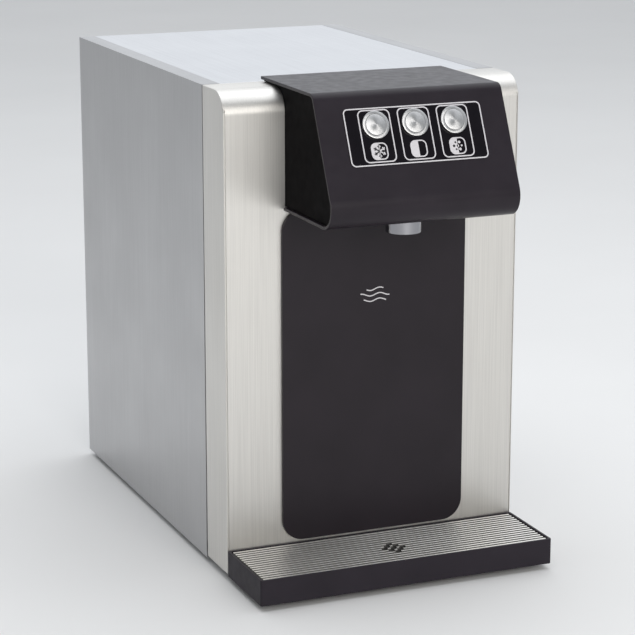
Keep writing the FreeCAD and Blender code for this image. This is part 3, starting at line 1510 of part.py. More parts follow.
document.recompute()
for item in document.Objects:
    if "Invalid" in item.State or "Error" in item.State:
        raise RuntimeError(f"{item.Label} ({item.Name}) failed: {item.State}")
for item in pieces:
    if item.Shape.isNull() or not item.Shape.isValid() or not item.Shape.Solids:
        raise RuntimeError(f"{item.Label} has no valid solid")
os.makedirs("parts", exist_ok=True)
for item in pieces:
    item.Shape.exportStep(f"parts/{item.Label}.step")
    print(item.Label, len(item.Shape.Solids), round(item.Shape.Volume))
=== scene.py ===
"""The looks of a countertop water dispenser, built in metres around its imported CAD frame."""

import json
import math

import bmesh
import bpy
from mathutils import Matrix, Vector


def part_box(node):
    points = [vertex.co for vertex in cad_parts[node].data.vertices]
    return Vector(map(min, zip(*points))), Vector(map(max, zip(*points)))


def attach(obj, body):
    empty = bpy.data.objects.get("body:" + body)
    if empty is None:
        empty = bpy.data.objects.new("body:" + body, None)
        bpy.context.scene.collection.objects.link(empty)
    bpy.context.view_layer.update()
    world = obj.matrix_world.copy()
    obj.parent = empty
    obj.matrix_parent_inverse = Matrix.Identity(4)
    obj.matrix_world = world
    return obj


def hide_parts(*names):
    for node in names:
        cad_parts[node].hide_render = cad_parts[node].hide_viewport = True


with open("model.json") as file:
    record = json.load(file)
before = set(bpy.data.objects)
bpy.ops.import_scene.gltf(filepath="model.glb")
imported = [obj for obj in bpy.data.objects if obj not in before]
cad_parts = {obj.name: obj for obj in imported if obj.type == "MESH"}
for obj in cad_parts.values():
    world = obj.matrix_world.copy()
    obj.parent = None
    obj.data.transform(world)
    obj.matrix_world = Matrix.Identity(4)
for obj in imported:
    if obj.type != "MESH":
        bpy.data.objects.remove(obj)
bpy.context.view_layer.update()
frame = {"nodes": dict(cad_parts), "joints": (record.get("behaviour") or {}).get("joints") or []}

NODES = frame["nodes"]
JOINTS = {joint["name"]: joint for joint in frame["joints"]}
SIDES = ("left", "middle", "right")

MM = 0.001

# How thick printed ink is, and how near two points are taken for one
PRINT = 0.04 * MM
TOUCHING = 0.001 * MM

# A fold sharper than SHARP stays an edge, and faces that meet flatter than FLAT are one
SHARP = math.radians(35)
FLAT = math.radians(0.5)

# The button face leans back: its axes go across it, up its slope and out of it
ACROSS = Vector((1, 0, 0))
OUTWARD = -Vector(JOINTS["middle_button_press"]["axis"]).normalized()
UPSLOPE = OUTWARD.cross(ACROSS)
FACE = Matrix((ACROSS, UPSLOPE, OUTWARD)).transposed().to_4x4()

# The back seen from behind: its right is -X, up is Z and out of it is Y
BACK = Matrix(((-1, 0, 0), (0, 0, 1), (0, 1, 0))).to_4x4()

# The front panel and splash plate seen from in front: right is X, up is Z and out of them is -Y
FRONT = Matrix(((1, 0, 0), (0, 0, 1), (0, -1, 0))).transposed().to_4x4()


# Finishes

# Most of a random pattern lies between these values
PATTERN_LOW = 0.3
PATTERN_HIGH = 0.7

# How many times longer than wide a streak of brushing is
STREAK = 160


class Finish:
    """A procedural material: a Principled shader and the patterns that vary it."""

    def __init__(self, name, colour, **sockets):
        self.material = bpy.data.materials.new(name)
        self.material.use_nodes = True
        self.tree = self.material.node_tree
        self.shader = self.tree.nodes["Principled BSDF"]
        self.colour = colour
        self.last_bump = None
        self.shader.inputs["Base Color"].default_value = (*colour, 1)
        for socket, value in sockets.items():
            self.shader.inputs[socket.replace("_", " ")].default_value = value

    def add(self, kind, **inputs):
        node = self.tree.nodes.new("ShaderNode" + kind)
        for socket, value in inputs.items():
            node.inputs[socket.replace("_", " ")].default_value = value
        return node

    def join(self, output, node, socket):
        self.tree.links.new(output, node.inputs[socket])

    def place(self, size, stretch=(1, 1, 1)):
        """Object coordinates scaled so that one unit is size, longer along a stretched axis."""
        grid = self.add("Mapping", Scale=[1 / (size * factor) for factor in stretch])
        self.join(self.add("TexCoord").outputs["Object"], grid, "Vector")
        return grid.outputs["Vector"]

    def clouds(self, size, stretch=(1, 1, 1), detail=3.0):
        """Soft random patches about size across."""
        noise = self.add("TexNoise", Scale=1.0, Detail=detail)
        self.join(self.place(size, stretch), noise, "Vector")
        return noise.outputs["Fac"]

    def cells(self, size):
        """Random cells about size across: each one's height from its middle, and its own shade."""
        voronoi = self.add("TexVoronoi", Scale=1.0)
        self.join(self.place(size), voronoi, "Vector")
        shade = self.add("SeparateColor")
        self.join(voronoi.outputs["Color"], shade, "Color")
        return voronoi.outputs["Distance"], shade.outputs["Red"]

    def rings(self, pitch):
        """Turned rings about the piece's own Z axis."""
        wave = self.add("TexWave", Scale=1.0, Distortion=0.6, Detail=2.0)
        wave.wave_type = "RINGS"
        wave.rings_direction = "Z"
        self.join(self.place(pitch * math.tau / 2), wave, "Vector")
        return wave.outputs["Fac"]

    def tint(self, pattern, dark, light):
        """The colour goes from dark to light times its own as the pattern goes from low to high."""
        ramp = self.add("ValToRGB")
        first, last = ramp.color_ramp.elements
        for stop, place, factor in ((first, PATTERN_LOW, dark), (last, PATTERN_HIGH, light)):
            stop.position = place
            stop.color = (*(min(1, part * factor) for part in self.colour), 1)
        self.join(pattern, ramp, "Fac")
        self.join(ramp.outputs["Color"], self.shader, "Base Color")

    def paint_shade_below(self, height, fade, share):
        """Painted shade: surfaces lower than a height fade to a share of the colour, over a short drop.
        """
        upward = self.add("SeparateXYZ")
        self.join(self.add("TexCoord").outputs["Object"], upward, "Vector")
        factor = self.add("MapRange", From_Min=height - fade, From_Max=height, To_Min=share, To_Max=1.0)
        self.join(upward.outputs["Z"], factor, "Value")
        darkened = self.add("VectorMath")
        darkened.operation = "SCALE"
        colour = self.shader.inputs["Base Color"].links[0].from_socket
        self.join(colour, darkened, "Vector")
        self.join(factor.outputs["Result"], darkened, "Scale")
        self.join(darkened.outputs["Vector"], self.shader, "Base Color")

    def polish(self, pattern, smooth, rough):
        """The roughness goes from smooth to rough with the pattern."""
        share = self.add("MapRange", From_Min=PATTERN_LOW, From_Max=PATTERN_HIGH, To_Min=smooth,
                         To_Max=rough)
        self.join(pattern, share, "Value")
        self.join(share.outputs["Result"], self.shader, "Roughness")

    def bump(self, pattern, depth, strength=1.0):
        """The surface rises by depth with the pattern, on top of earlier bumps."""
        bump = self.add("Bump", Distance=depth, Strength=strength)
        self.join(pattern, bump, "Height")
        if self.last_bump:
            self.join(self.last_bump.outputs["Normal"], bump, "Normal")
        self.join(bump.outputs["Normal"], self.shader, "Normal")
        self.last_bump = bump

    def turn_highlights(self, axis):
        """Brushing that runs along the axis, or round it on a turned face."""
        tangent = self.add("Tangent")
        tangent.direction_type = "RADIAL"
        tangent.axis = axis
        self.join(tangent.outputs["Tangent"], self.shader, "Tangent")


def brushed(name, colour, axis, smooth, rough):
    """Fine brushed stainless sheet, its streaks drawn out along an axis."""
    steel = Finish(name, colour, Metallic=1.0, Anisotropic=0.4)
    streaks = steel.clouds(0.55 * MM, stretch=[STREAK if letter == axis else 1 for letter in "XYZ"])
    steel.tint(streaks, dark=0.93, light=1.05)
    steel.polish(steel.clouds(70 * MM, detail=5.0), smooth, rough)
    steel.bump(streaks, depth=0.0018 * MM)
    steel.turn_highlights(axis)
    return steel


def ribbed_steel():
    """Brushed ribs along X, with painted shade darkening the grooves between them."""
    steel = brushed("grille_steel", (0.8, 0.78, 0.74), "X", smooth=0.38, rough=0.48)
    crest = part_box("drip_grille")[1].z
    bright = 0.08 * MM
    # Painted shade in the grooves: below the crests the colour falls to a small share of itself
    steel.paint_shade_below(crest - bright, fade=0.3 * MM, share=0.16)
    return steel.material


def powder_coat(name, colour, smooth, rough, gloss):
    """Baked powder paint with a fine orange peel."""
    paint = Finish(name, colour, Specular_IOR_Level=gloss)
    paint.tint(paint.clouds(45 * MM), dark=0.9, light=1.12)
    paint.polish(paint.clouds(8 * MM, detail=4.0), smooth, rough)
    paint.bump(paint.clouds(0.5 * MM), depth=0.012 * MM)
    return paint.material


def moulded(name, colour):
    """Moulded plastic with a spark-eroded texture."""
    plastic = Finish(name, colour)
    plastic.tint(plastic.clouds(20 * MM), dark=0.94, light=1.06)
    plastic.polish(plastic.clouds(3 * MM), smooth=0.42, rough=0.55)
    plastic.bump(plastic.cells(0.35 * MM)[0], depth=0.01 * MM)
    return plastic.material


def gloss_film():
    """Polycarbonate label film, glossy, with a trace of handling."""
    film = Finish("label_gloss", (0.004, 0.003, 0.005), Specular_IOR_Level=0.2)
    film.tint(film.clouds(15 * MM), dark=0.85, light=1.3)
    film.polish(film.clouds(9 * MM, detail=6.0), smooth=0.1, rough=0.22)
    film.bump(film.clouds(2.5 * MM), depth=0.002 * MM)
    return film.material


def printed(name, colour):
    """Screen-printed ink."""
    ink = Finish(name, colour)
    ink.tint(ink.clouds(0.8 * MM), dark=0.92, light=1.04)
    ink.polish(ink.clouds(1.5 * MM), smooth=0.35, rough=0.5)
    return ink.material


def spun_steel():
    """A faced-off steel button: rings from the lathe, and highlights that fan out from its centre."""
    steel = Finish("button_steel", (0.56, 0.56, 0.56), Metallic=1.0, Anisotropic=0.8)
    rings = steel.rings(0.5 * MM)
    steel.tint(rings, dark=0.9, light=1.06)
    steel.polish(rings, smooth=0.34, rough=0.4)
    steel.turn_highlights("Z")
    return steel.material


def polished(name, colour, smooth, rough):
    """Bright metal, polished or plated, with faint marks from handling."""
    metal = Finish(name, colour, Metallic=1.0)
    metal.tint(metal.clouds(12 * MM), dark=0.96, light=1.02)
    metal.polish(metal.clouds(5 * MM, detail=6.0), smooth, rough)
    metal.bump(metal.clouds(1.2 * MM), depth=0.0008 * MM)
    return metal.material


def galvanised():
    """Zinc-coated sheet with its spangle."""
    zinc = Finish("galvanised", (0.5, 0.51, 0.52), Metallic=0.9)
    spangle = zinc.cells(7 * MM)[1]
    zinc.tint(spangle, dark=0.95, light=1.04)
    zinc.polish(spangle, smooth=0.44, rough=0.56)
    zinc.bump(zinc.clouds(1.5 * MM), depth=0.006 * MM)
    return zinc.material


def rubber(name, colour):
    """Matt moulded rubber."""
    skin = Finish(name, colour, Specular_IOR_Level=0.35)
    skin.tint(skin.clouds(6 * MM), dark=0.85, light=1.25)
    skin.polish(skin.clouds(2 * MM), smooth=0.65, rough=0.85)
    skin.bump(skin.clouds(0.4 * MM), depth=0.02 * MM)
    return skin.material


def foam():
    """Closed-cell insulation foam."""
    cellular = Finish("foam", (0.1, 0.1, 0.11), Specular_IOR_Level=0.25)
    cells = cellular.cells(1.4 * MM)[0]
    cellular.tint(cells, dark=0.7, light=1.3)
    cellular.polish(cells, smooth=0.8, rough=0.95)
    cellular.bump(cells, depth=0.3 * MM, strength=0.6)
    return cellular.material


def hose_plastic():
    """Milky polyethylene tube."""
    tube = Finish("hose", (0.7, 0.73, 0.76), Transmission_Weight=0.25, IOR=1.5)
    tube.tint(tube.clouds(12 * MM), dark=0.93, light=1.04)
    tube.polish(tube.clouds(4 * MM), smooth=0.28, rough=0.42)
    return tube.material


def circuit_board():
    """Green solder mask over copper tracks."""
    board = Finish("board_green", (0.03, 0.16, 0.07), Coat_Weight=0.4)
    tracks = board.add("TexBrick", Scale=1.0, Mortar_Size=0.06)
    board.join(board.place(4 * MM), tracks, "Vector")
    board.tint(tracks.outputs["Fac"], dark=1.0, light=1.7)
    board.polish(board.clouds(5 * MM), smooth=0.3, rough=0.42)
    board.bump(tracks.outputs["Fac"], depth=0.03 * MM)
    return board.material


# The finish of each slot in the frame
FINISHES = {
    "stainless": brushed("stainless", (0.68, 0.665, 0.635), "Z", smooth=0.4, rough=0.48).material,
    "galvanised": galvanised(),
    "rubber": rubber("rubber", (0.022, 0.022, 0.023)),
    "screw_steel": polished("screw_steel", (0.62, 0.62, 0.62), smooth=0.2, rough=0.32),
    "splash_black": powder_coat("splash_black", (0.018, 0.014, 0.018), smooth=0.3, rough=0.36,
                                gloss=0.22),
    "head_black": powder_coat("head_black", (0.019, 0.015, 0.02), smooth=0.3, rough=0.38, gloss=0.2),
    "foam_seal": rubber("foam_seal", (0.015, 0.015, 0.015)),
    "label_gloss": gloss_film(),
    "button_steel": spun_steel(),
    "chrome": polished("chrome", (0.32, 0.32, 0.34), smooth=0.03, rough=0.08),
    "white_plastic": moulded("white_plastic", (0.72, 0.72, 0.7)),
    "tray_black": powder_coat("tray_black", (0.026, 0.022, 0.028), smooth=0.4, rough=0.5, gloss=0.1),
    "grille_steel": ribbed_steel(),
    "foam": foam(),
    "copper": polished("copper", (0.78, 0.4, 0.27), smooth=0.22, rough=0.4),
    "motor_black": powder_coat("motor_black", (0.015, 0.015, 0.016), smooth=0.18, rough=0.28,
                               gloss=0.5),
    "aluminium_fin": polished("aluminium_fin", (0.7, 0.7, 0.72), smooth=0.3, rough=0.45),
    "black_plastic": moulded("black_plastic", (0.02, 0.02, 0.021)),
    "brass": polished("brass", (0.76, 0.56, 0.28), smooth=0.2, rough=0.34),
    "hose": hose_plastic(),
    "board_green": circuit_board(),
}

# Slot finishes copied with painted light: side panels and cheeks darker as painted shade, the top
# lighter and cooler
SHADED_SIDE_STEEL = brushed("shaded_side_steel", (0.48, 0.48, 0.485), "Z", smooth=0.3, rough=0.4).material
LIT_TOP_STEEL = brushed("lit_top_steel", (0.7, 0.71, 0.73), "Y", smooth=0.3, rough=0.4).material
SHADED_CHEEK_BLACK = powder_coat("shaded_cheek_black", (0.003, 0.0025, 0.003), smooth=0.5, rough=0.6, gloss=0.02)

WHITE_INK = printed("white_ink", (0.62, 0.6, 0.62))
DARK_INK = printed("dark_ink", (0.008, 0.008, 0.01))
BACK_INK = printed("back_ink", (0.04, 0.04, 0.045))


# Mesh helpers

def box_along(node, turn):
    """Lowest and highest corner of a CAD node in the directions of a turned frame."""
    back = turn.transposed()
    points = [back @ vertex.co for vertex in NODES[node].data.vertices]
    low = Vector([min(point[axis] for point in points) for axis in range(3)])
    high = Vector([max(point[axis] for point in points) for axis in range(3)])
    return low, high


def add_piece(name, mesh, finish, body, place, replaces=()):
    """Puts a mesh in the scene as a piece of the object that moves with a CAD body."""
    piece = bpy.data.objects.new(name, mesh)
    bpy.context.scene.collection.objects.link(piece)
    piece.matrix_world = place
    mesh.materials.append(finish)
    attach(piece, body)
    if replaces:
        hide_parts(*replaces)


def mesh_from(shape, name):
    """A mesh with the shape that was worked on, which is then let go."""
    mesh = bpy.data.meshes.new(name)
    shape.to_mesh(mesh)
    shape.free()
    return mesh


def lathe(profile, steps=96):
    """A smooth mesh turned about Z from (radius, height) points."""
    shape = bmesh.new()
    verts = [shape.verts.new((radius, 0, height)) for radius, height in profile]
    edges = [shape.edges.new(pair) for pair in zip(verts, verts[1:])]
    bmesh.ops.spin(shape, geom=verts + edges, cent=(0, 0, 0), axis=(0, 0, 1),
                   angle=math.tau, steps=steps, use_merge=True)
    bmesh.ops.remove_doubles(shape, verts=shape.verts, dist=TOUCHING)
    bmesh.ops.recalc_face_normals(shape, faces=shape.faces)
    mesh = mesh_from(shape, "turned")
    mesh.shade_smooth()
    mesh.set_sharp_from_angle(angle=SHARP)
    return mesh


def plate(outlines, low, high):
    """A flat mesh from low to high. An outline inside another one is a hole."""
    curve = bpy.data.curves.new("outline", "CURVE")
    curve.dimensions = "2D"
    curve.fill_mode = "BOTH"
    curve.extrude = (high - low) / 2
    for points in outlines:
        spline = curve.splines.new("POLY")
        spline.points.add(len(points) - 1)
        for corner, (across, up) in zip(spline.points, points):
            corner.co = (across, up, 0, 1)
        spline.use_cyclic_u = True
    holder = bpy.data.objects.new("outline", curve)
    mesh = bpy.data.meshes.new_from_object(holder)
    bpy.data.objects.remove(holder)
    mesh.materials.clear()
    mesh.transform(Matrix.Translation((0, 0, (low + high) / 2)))
    return mesh


def joined(meshes):
    """One mesh from several."""
    shape = bmesh.new()
    for mesh in meshes:
        shape.from_mesh(mesh)
        bpy.data.meshes.remove(mesh)
    bmesh.ops.remove_doubles(shape, verts=shape.verts, dist=TOUCHING)
    return mesh_from(shape, "joined")


def circle(centre, radius, steps):
    """Points round a circle."""
    turns = [math.tau * step / steps for step in range(steps)]
    return [(centre[0] + radius * math.cos(turn), centre[1] + radius * math.sin(turn))
            for turn in turns]


def rounded(low, high, radius):
    """Points round a rectangle from one corner to the other, its corners arcs."""
    steps = 8
    points = []
    for quarter, (across, up) in enumerate(((1, 1), (0, 1), (0, 0), (1, 0))):
        centre = (high[0] - radius if across else low[0] + radius,
                  high[1] - radius if up else low[1] + radius)
        for step in range(steps + 1):
            angle = (quarter + step / steps) * math.pi / 2
            points.append((centre[0] + radius * math.cos(angle), centre[1] + radius * math.sin(angle)))
    return points


def inset(low, high, width):
    """Corners of a rectangle with a width taken off each side."""
    return (low[0] + width, low[1] + width), (high[0] - width, high[1] - width)


def stroke(points, width, base):
    """A printed stroke of even width along a path."""
    left, right = [], []
    for index, point in enumerate(points):
        before = Vector(points[max(index - 1, 0)])
        after = Vector(points[min(index + 1, len(points) - 1)])
        side = (after - before).normalized().orthogonal() * width / 2
        left.append(tuple(Vector(point) + side))
        right.append(tuple(Vector(point) - side))
    return plate([left + right[::-1]], base, base + PRINT)


def disc(centre, radius, base):
    """A printed dot."""
    return plate([circle(centre, radius, steps=20)], base, base + PRINT)


def half_of(mesh, across, hand):
    """The part of a flat print to one side of an upright line: hand is -1 for left, 1 for right."""
    shape = bmesh.new()
    shape.from_mesh(mesh)
    cut = bmesh.ops.bisect_plane(shape, geom=shape.verts[:] + shape.edges[:] + shape.faces[:],
                                 plane_co=(across, 0, 0), plane_no=(-hand, 0, 0), clear_outer=True)
    rim = [part for part in cut["geom_cut"] if isinstance(part, bmesh.types.BMEdge)]
    bmesh.ops.edgenet_fill(shape, edges=rim)
    return mesh_from(shape, "half")


# Carried-over CAD nodes

# Panels whose finish is a copy of their slot's with painted light or shade
PAINTED_LIGHT_PANELS = {
    "left_side_panel": SHADED_SIDE_STEEL,
    "right_side_panel": SHADED_SIDE_STEEL,
    "top_panel": LIT_TOP_STEEL,
    "head_left_cheek": SHADED_CHEEK_BLACK,
    "head_right_cheek": SHADED_CHEEK_BLACK,
}

# Width of the small round along the edges of each node, in mm
EDGE_WIDTHS = {
    0.25: ("front_panel", "left_side_panel", "right_side_panel", "top_panel", "head_left_cheek",
           "head_right_cheek", "splash_plate", "base_plate", "electronics_shelf", "head_bracket"),
    0.4: ("head_shell", "drip_tray", "power_inlet", "power_switch_frame", "thermostat_knob"),
    0.2: ("button_label",),
    0.15: ("drip_grille",),
}


def crisp(node, width):
    """Gives a CAD node the small edge radius of folded sheet or a moulding."""
    modifiers = NODES[node].modifiers
    modifiers.new("weld", "WELD").merge_threshold = 2 * TOUCHING
    flatten = modifiers.new("flatten", "DECIMATE")
    flatten.decimate_type = "DISSOLVE"
    flatten.angle_limit = FLAT
    edge = modifiers.new("edge", "BEVEL")
    edge.width = width
    edge.segments = 2
    edge.limit_method = "ANGLE"
    edge.angle_limit = SHARP
    modifiers.new("shading", "WEIGHTED_NORMAL").keep_sharp = True


def dress_nodes():
    """Every CAD node takes its finish, some panels a copy of it with painted light or shade, and the
    larger ones their rounded edges.
    """
    for node in NODES.values():
        for holder in node.material_slots:
            holder.material = FINISHES[holder.material.name.split(".")[0]]
    # Side panels and cheeks get painted shade, the top painted light
    for name, finish in PAINTED_LIGHT_PANELS.items():
        NODES[name].material_slots[0].material = finish
    for width, names in EDGE_WIDTHS.items():
        for name in names:
            crisp(name, width * MM)


# Buttons and their label

# The cap: how far its face stands out, its rounded edge, its thickness, stem and spring groove
CAP_PROUD = 0.12 * MM
CAP_ROUND = 0.3 * MM
CAP_ROUND_MIDDLE = (0.1 * MM, 0.09 * MM)
CAP_THICK = 4.4 * MM
STEM = 2.5 * MM
SPRING_ROOM = 0.25 * MM
GROOVE_WIDE = 1.5 * MM
GROOVE_DEEP = 1.8 * MM

# The bezel: the flange's rounded edge and foot, the well that the cap sinks into, and the stem's bore
RIM_ROUND = 0.4 * MM
RIM_ROUND_MIDDLE = 0.12 * MM
FOOT_ROUND = 0.15 * MM
CAP_GAP = 0.08 * MM
WELL_ROUND = 0.2 * MM
WELL_DEEP = 10.8 * MM
STEM_GAP = 0.1 * MM
BORE_FLOOR = 5 * MM

# The threaded barrel behind the face
BARREL = 9.4 * MM
BARREL_ROUND = 0.4 * MM
THREAD_DEEP = 0.5 * MM
PITCH = 1.0 * MM
PLAIN_TURNS = 3

# The label: the width of its lines, and the corners of its border
LINE = 1.0 * MM
BORDER_CORNER = 4 * MM

# The cell round each button, from the button's centre, and the icon in it
CELL_HALF = 13.6 * MM
CELL_ABOVE = 12.6 * MM
CELL_BELOW = 29.8 * MM
CELL_CORNER = 4.5 * MM
ICON_BELOW = 20.8 * MM
ICON_HALF_WIDE = 7.0 * MM
ICON_HALF_TALL = 6.9 * MM
ICON_CORNER = 4.4 * MM
ICON_MARK = 5.3 * MM

# The frost sign as shares of its size: its strokes, where its arms fork and how long the twigs are
ARM_WIDE = 0.19
TWIG_WIDE = 0.15
FORK_AT = 0.55
TWIG_LONG = 0.24

# The bubbles as shares of their sign's size: their radii and that of the ring they lie on
MIDDLE_BUBBLE = 0.2
SMALL_BUBBLE = 0.15
LARGE_BUBBLE = 0.21
BUBBLE_RING = 0.62


def cap_profile(face, radius, spring, foot):
    """Half the cap's section, with a groove underneath that takes the spring when it is pressed."""
    top = face + CAP_PROUD
    under = face - CAP_THICK
    roof = under + GROOVE_DEEP
    groove = spring + SPRING_ROOM
    groove_in = groove - GROOVE_WIDE
    inward, down = CAP_ROUND_MIDDLE
    return [(0, top), (radius - CAP_ROUND, top), (radius - inward, top - down),
            (radius, top - CAP_ROUND), (radius, under), (groove, under), (groove, roof),
            (groove_in, roof), (groove_in, under), (STEM, under), (STEM, foot), (0, foot)]


def bezel_profile(face, radius, well, seat, foot):
    """Half the bezel's section: threaded barrel, flange on the label, well and the stem's bore."""
    root = BARREL - THREAD_DEEP
    bore = STEM + STEM_GAP
    points = [(0, foot), (BARREL - BARREL_ROUND, foot)]
    height = foot + PITCH
    while height < seat - PLAIN_TURNS * PITCH:
        points += [(root, height), (BARREL, height + PITCH / 2)]
        height += PITCH
    return points + [(root, height), (root, seat), (radius - FOOT_ROUND, seat),
                     (radius, seat + FOOT_ROUND), (radius, face - RIM_ROUND),
                     (radius - RIM_ROUND_MIDDLE, face - RIM_ROUND_MIDDLE), (radius - RIM_ROUND, face),
                     (well + WELL_ROUND, face), (well, face - WELL_ROUND), (well, face - WELL_DEEP),
                     (bore, face - WELL_DEEP), (bore, foot + BORE_FLOOR), (0, foot + BORE_FLOOR)]


def buttons():
    """Spun steel caps in turned bezels, each with its screw-threaded barrel behind the face."""
    seat = box_along("button_label", FACE)[1].z
    for side in SIDES:
        low, high = box_along(f"{side}_switch_body", FACE)
        cap_low, cap_high = box_along(f"{side}_button_cap", FACE)
        spring_low, spring_high = box_along(f"{side}_button_spring", FACE)
        centre = (low + high) / 2
        place = FACE @ Matrix.Translation((centre.x, centre.y, 0))
        cap_radius = (cap_high.x - cap_low.x) / 2
        cap = cap_profile(high.z, cap_radius, (spring_high.x - spring_low.x) / 2, cap_low.z)
        add_piece(f"{side}_spun_cap", lathe(cap), FINISHES["button_steel"],
                  f"{side}_button", place, [f"{side}_button_cap"])
        bezel = bezel_profile(high.z, (high.x - low.x) / 2, cap_radius + CAP_GAP, seat, low.z)
        add_piece(f"{side}_turned_bezel", lathe(bezel), FINISHES["button_steel"],
                  "case", place, [f"{side}_switch_body"])


def snowflake(centre, size, base):
    """Six arms, each with a pair of short twigs."""
    parts = []
    for arm in range(6):
        angle = arm * math.pi / 3 + math.pi / 6
        along = Vector((math.cos(angle), math.sin(angle)))
        side = Vector((-along.y, along.x))
        middle = Vector(centre)
        parts.append(stroke([tuple(middle), tuple(middle + along * size)], size * ARM_WIDE, base))
        fork = middle + along * size * FORK_AT
        for hand in (-1, 1):
            tip = fork + (along + side * hand) * size * TWIG_LONG
            parts.append(stroke([tuple(fork), tuple(tip)], size * TWIG_WIDE, base))
    return parts


def bubbles(centre, size, base):
    """A dot with a ring of small and larger ones round it."""
    parts = [disc(centre, size * MIDDLE_BUBBLE, base)]
    for number, at in enumerate(circle(centre, size * BUBBLE_RING, steps=6)):
        parts.append(disc(at, size * (LARGE_BUBBLE if number % 2 else SMALL_BUBBLE), base))
    return parts


def frame_line(low, high, radius, base):
    """A printed line round the inside of a rounded rectangle."""
    return plate([rounded(low, high, radius), rounded(*inset(low, high, LINE), radius - LINE)],
                 base, base + PRINT)


def icon_field(icon, top):
    """A rounded square round the icon's centre, printed full on the left and as a line on the right."""
    low = (icon[0] - ICON_HALF_WIDE, icon[1] - ICON_HALF_TALL)
    high = (icon[0] + ICON_HALF_WIDE, icon[1] + ICON_HALF_TALL)
    inner_low, inner_high = inset(low, high, LINE)
    inner = rounded(inner_low, inner_high, ICON_CORNER - LINE)
    right_half = sorted((point for point in inner if point[0] >= icon[0]),
                        key=lambda point: math.atan2(point[1] - icon[1], point[0] - icon[0]))
    window = [(icon[0], inner_low[1]), *right_half, (icon[0], inner_high[1])]
    return plate([rounded(low, high, ICON_CORNER), window], top, top + PRINT)


def label_print():
    """Pale lines round the label and round each button, and a half-filled icon under each."""
    low, high = box_along("button_label", FACE)
    top = high.z
    add_piece("label_border", frame_line(low, high, BORDER_CORNER, top), WHITE_INK,
              "case", FACE)
    for side in SIDES:
        bezel_low, bezel_high = box_along(f"{side}_switch_body", FACE)
        centre = (bezel_low.x + bezel_high.x) / 2
        row = (bezel_low.y + bezel_high.y) / 2
        icon = (centre, row - ICON_BELOW)
        cell = frame_line((centre - CELL_HALF, row - CELL_BELOW),
                          (centre + CELL_HALF, row + CELL_ABOVE), CELL_CORNER, top)
        add_piece(f"{side}_cell_print", joined([cell, icon_field(icon, top)]), WHITE_INK,
                  "case", FACE)
        if side == "middle":
            continue
        draw = snowflake if side == "left" else bubbles
        for hand, ink, base, name in ((-1, DARK_INK, top + PRINT, "dark"), (1, WHITE_INK, top, "pale")):
            mark = joined([half_of(part, icon[0], hand) for part in draw(icon, ICON_MARK, base)])
            add_piece(f"{side}_icon_{name}_half", mark, ink, "case", FACE)


# Decoration on the front

# The wave mark: half the length of each line from the top down, how far the first lies below the
# plate's top edge, the drop from row to row, the waves' height and length, and the ink's width
WAVE_HALVES = (7.5 * MM, 13.0 * MM, 10.0 * MM)
WAVE_DROP = 71 * MM
WAVE_ROW = 4.6 * MM
WAVE_SWING = 1.1 * MM
WAVE_RADIAN = 2.6 * MM
WAVE_LINE = 0.9 * MM
WAVE_STEPS = 40

# The weld bead as (radius, height) points in mm, then how it is drawn out and where it sits
BEAD = ((0, 0.42), (0.5, 0.38), (1.0, 0.22), (1.4, 0.0), (1.2, -0.2), (0, -0.3))
BEAD_SHAPE = (0.55, 1.25, 1, 1)
BEAD_IN = 0.85 * MM
BEAD_SUNK = 0.1 * MM
BEAD_HEIGHT = 390 * MM


def wave_mark():
    """Three short wavy lines where the splash plate carries its decoration."""
    high = box_along("splash_plate", FRONT)[1]
    middle = high.y - WAVE_DROP
    shapes = []
    for row, half in enumerate(WAVE_HALVES):
        path = []
        for step in range(WAVE_STEPS + 1):
            across = (2 * step / WAVE_STEPS - 1) * half
            path.append((across, middle - row * WAVE_ROW + WAVE_SWING * math.sin(across / WAVE_RADIAN)))
        shapes.append(stroke(path, WAVE_LINE, high.z))
    add_piece("wave_mark", joined(shapes), WHITE_INK, "case", FRONT)


def weld_beads():
    """The small dressed weld at the top of each front corner."""
    low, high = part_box("front_panel")
    for side, across in (("left", low.x + BEAD_IN), ("right", high.x - BEAD_IN)):
        mesh = lathe([(radius * MM, height * MM) for radius, height in BEAD], steps=24)
        mesh.transform(Matrix.Diagonal(BEAD_SHAPE))
        place = Matrix.Translation((across, low.y + BEAD_SUNK, BEAD_HEIGHT)) @ FRONT
        add_piece(f"{side}_weld_bead", mesh, FINISHES["stainless"], "case", place)


# Back of the case

# The dial's scale: marks clockwise from the lower left by degrees, each a little longer than the
# last, with a gap to the dial, and a frost sign to the lower right
SCALE_MARKS = 10
SCALE_START = 225
SCALE_STEP = 30
SCALE_GAP = 4 * MM
SCALE_LINE = 0.8 * MM
FIRST_MARK = 1.5 * MM
MARK_GROWTH = 0.35 * MM
FROST_OFFSET = (8 * MM, 6 * MM)
FROST_SIZE = 3 * MM

# The marks for on, above the power switch, and for off, below it
ON_MARK = (3 * MM, 7 * MM)
ON_LINE = 0.9 * MM
OFF_BELOW = 5 * MM
OFF_RADII = (2.4 * MM, 1.6 * MM)


def dial_scale(face):
    """Marks round the thermostat's dial, and a frost sign at the cold end."""
    dial_low, dial_high = box_along("thermostat_knob", BACK)
    centre = (dial_low + dial_high) / 2
    radius = (dial_high.x - dial_low.x) / 2
    parts = []
    for number in range(SCALE_MARKS):
        angle = math.radians(SCALE_START - number * SCALE_STEP)
        along = Vector((math.cos(angle), math.sin(angle)))
        start = Vector((centre.x, centre.y)) + along * (radius + SCALE_GAP)
        length = FIRST_MARK + number * MARK_GROWTH
        parts.append(stroke([tuple(start), tuple(start + along * length)], SCALE_LINE, face))
    right, down = FROST_OFFSET
    parts += snowflake((centre.x + radius + right, centre.y - radius - down), FROST_SIZE, face)
    add_piece("dial_scale", joined(parts), BACK_INK, "case", BACK)


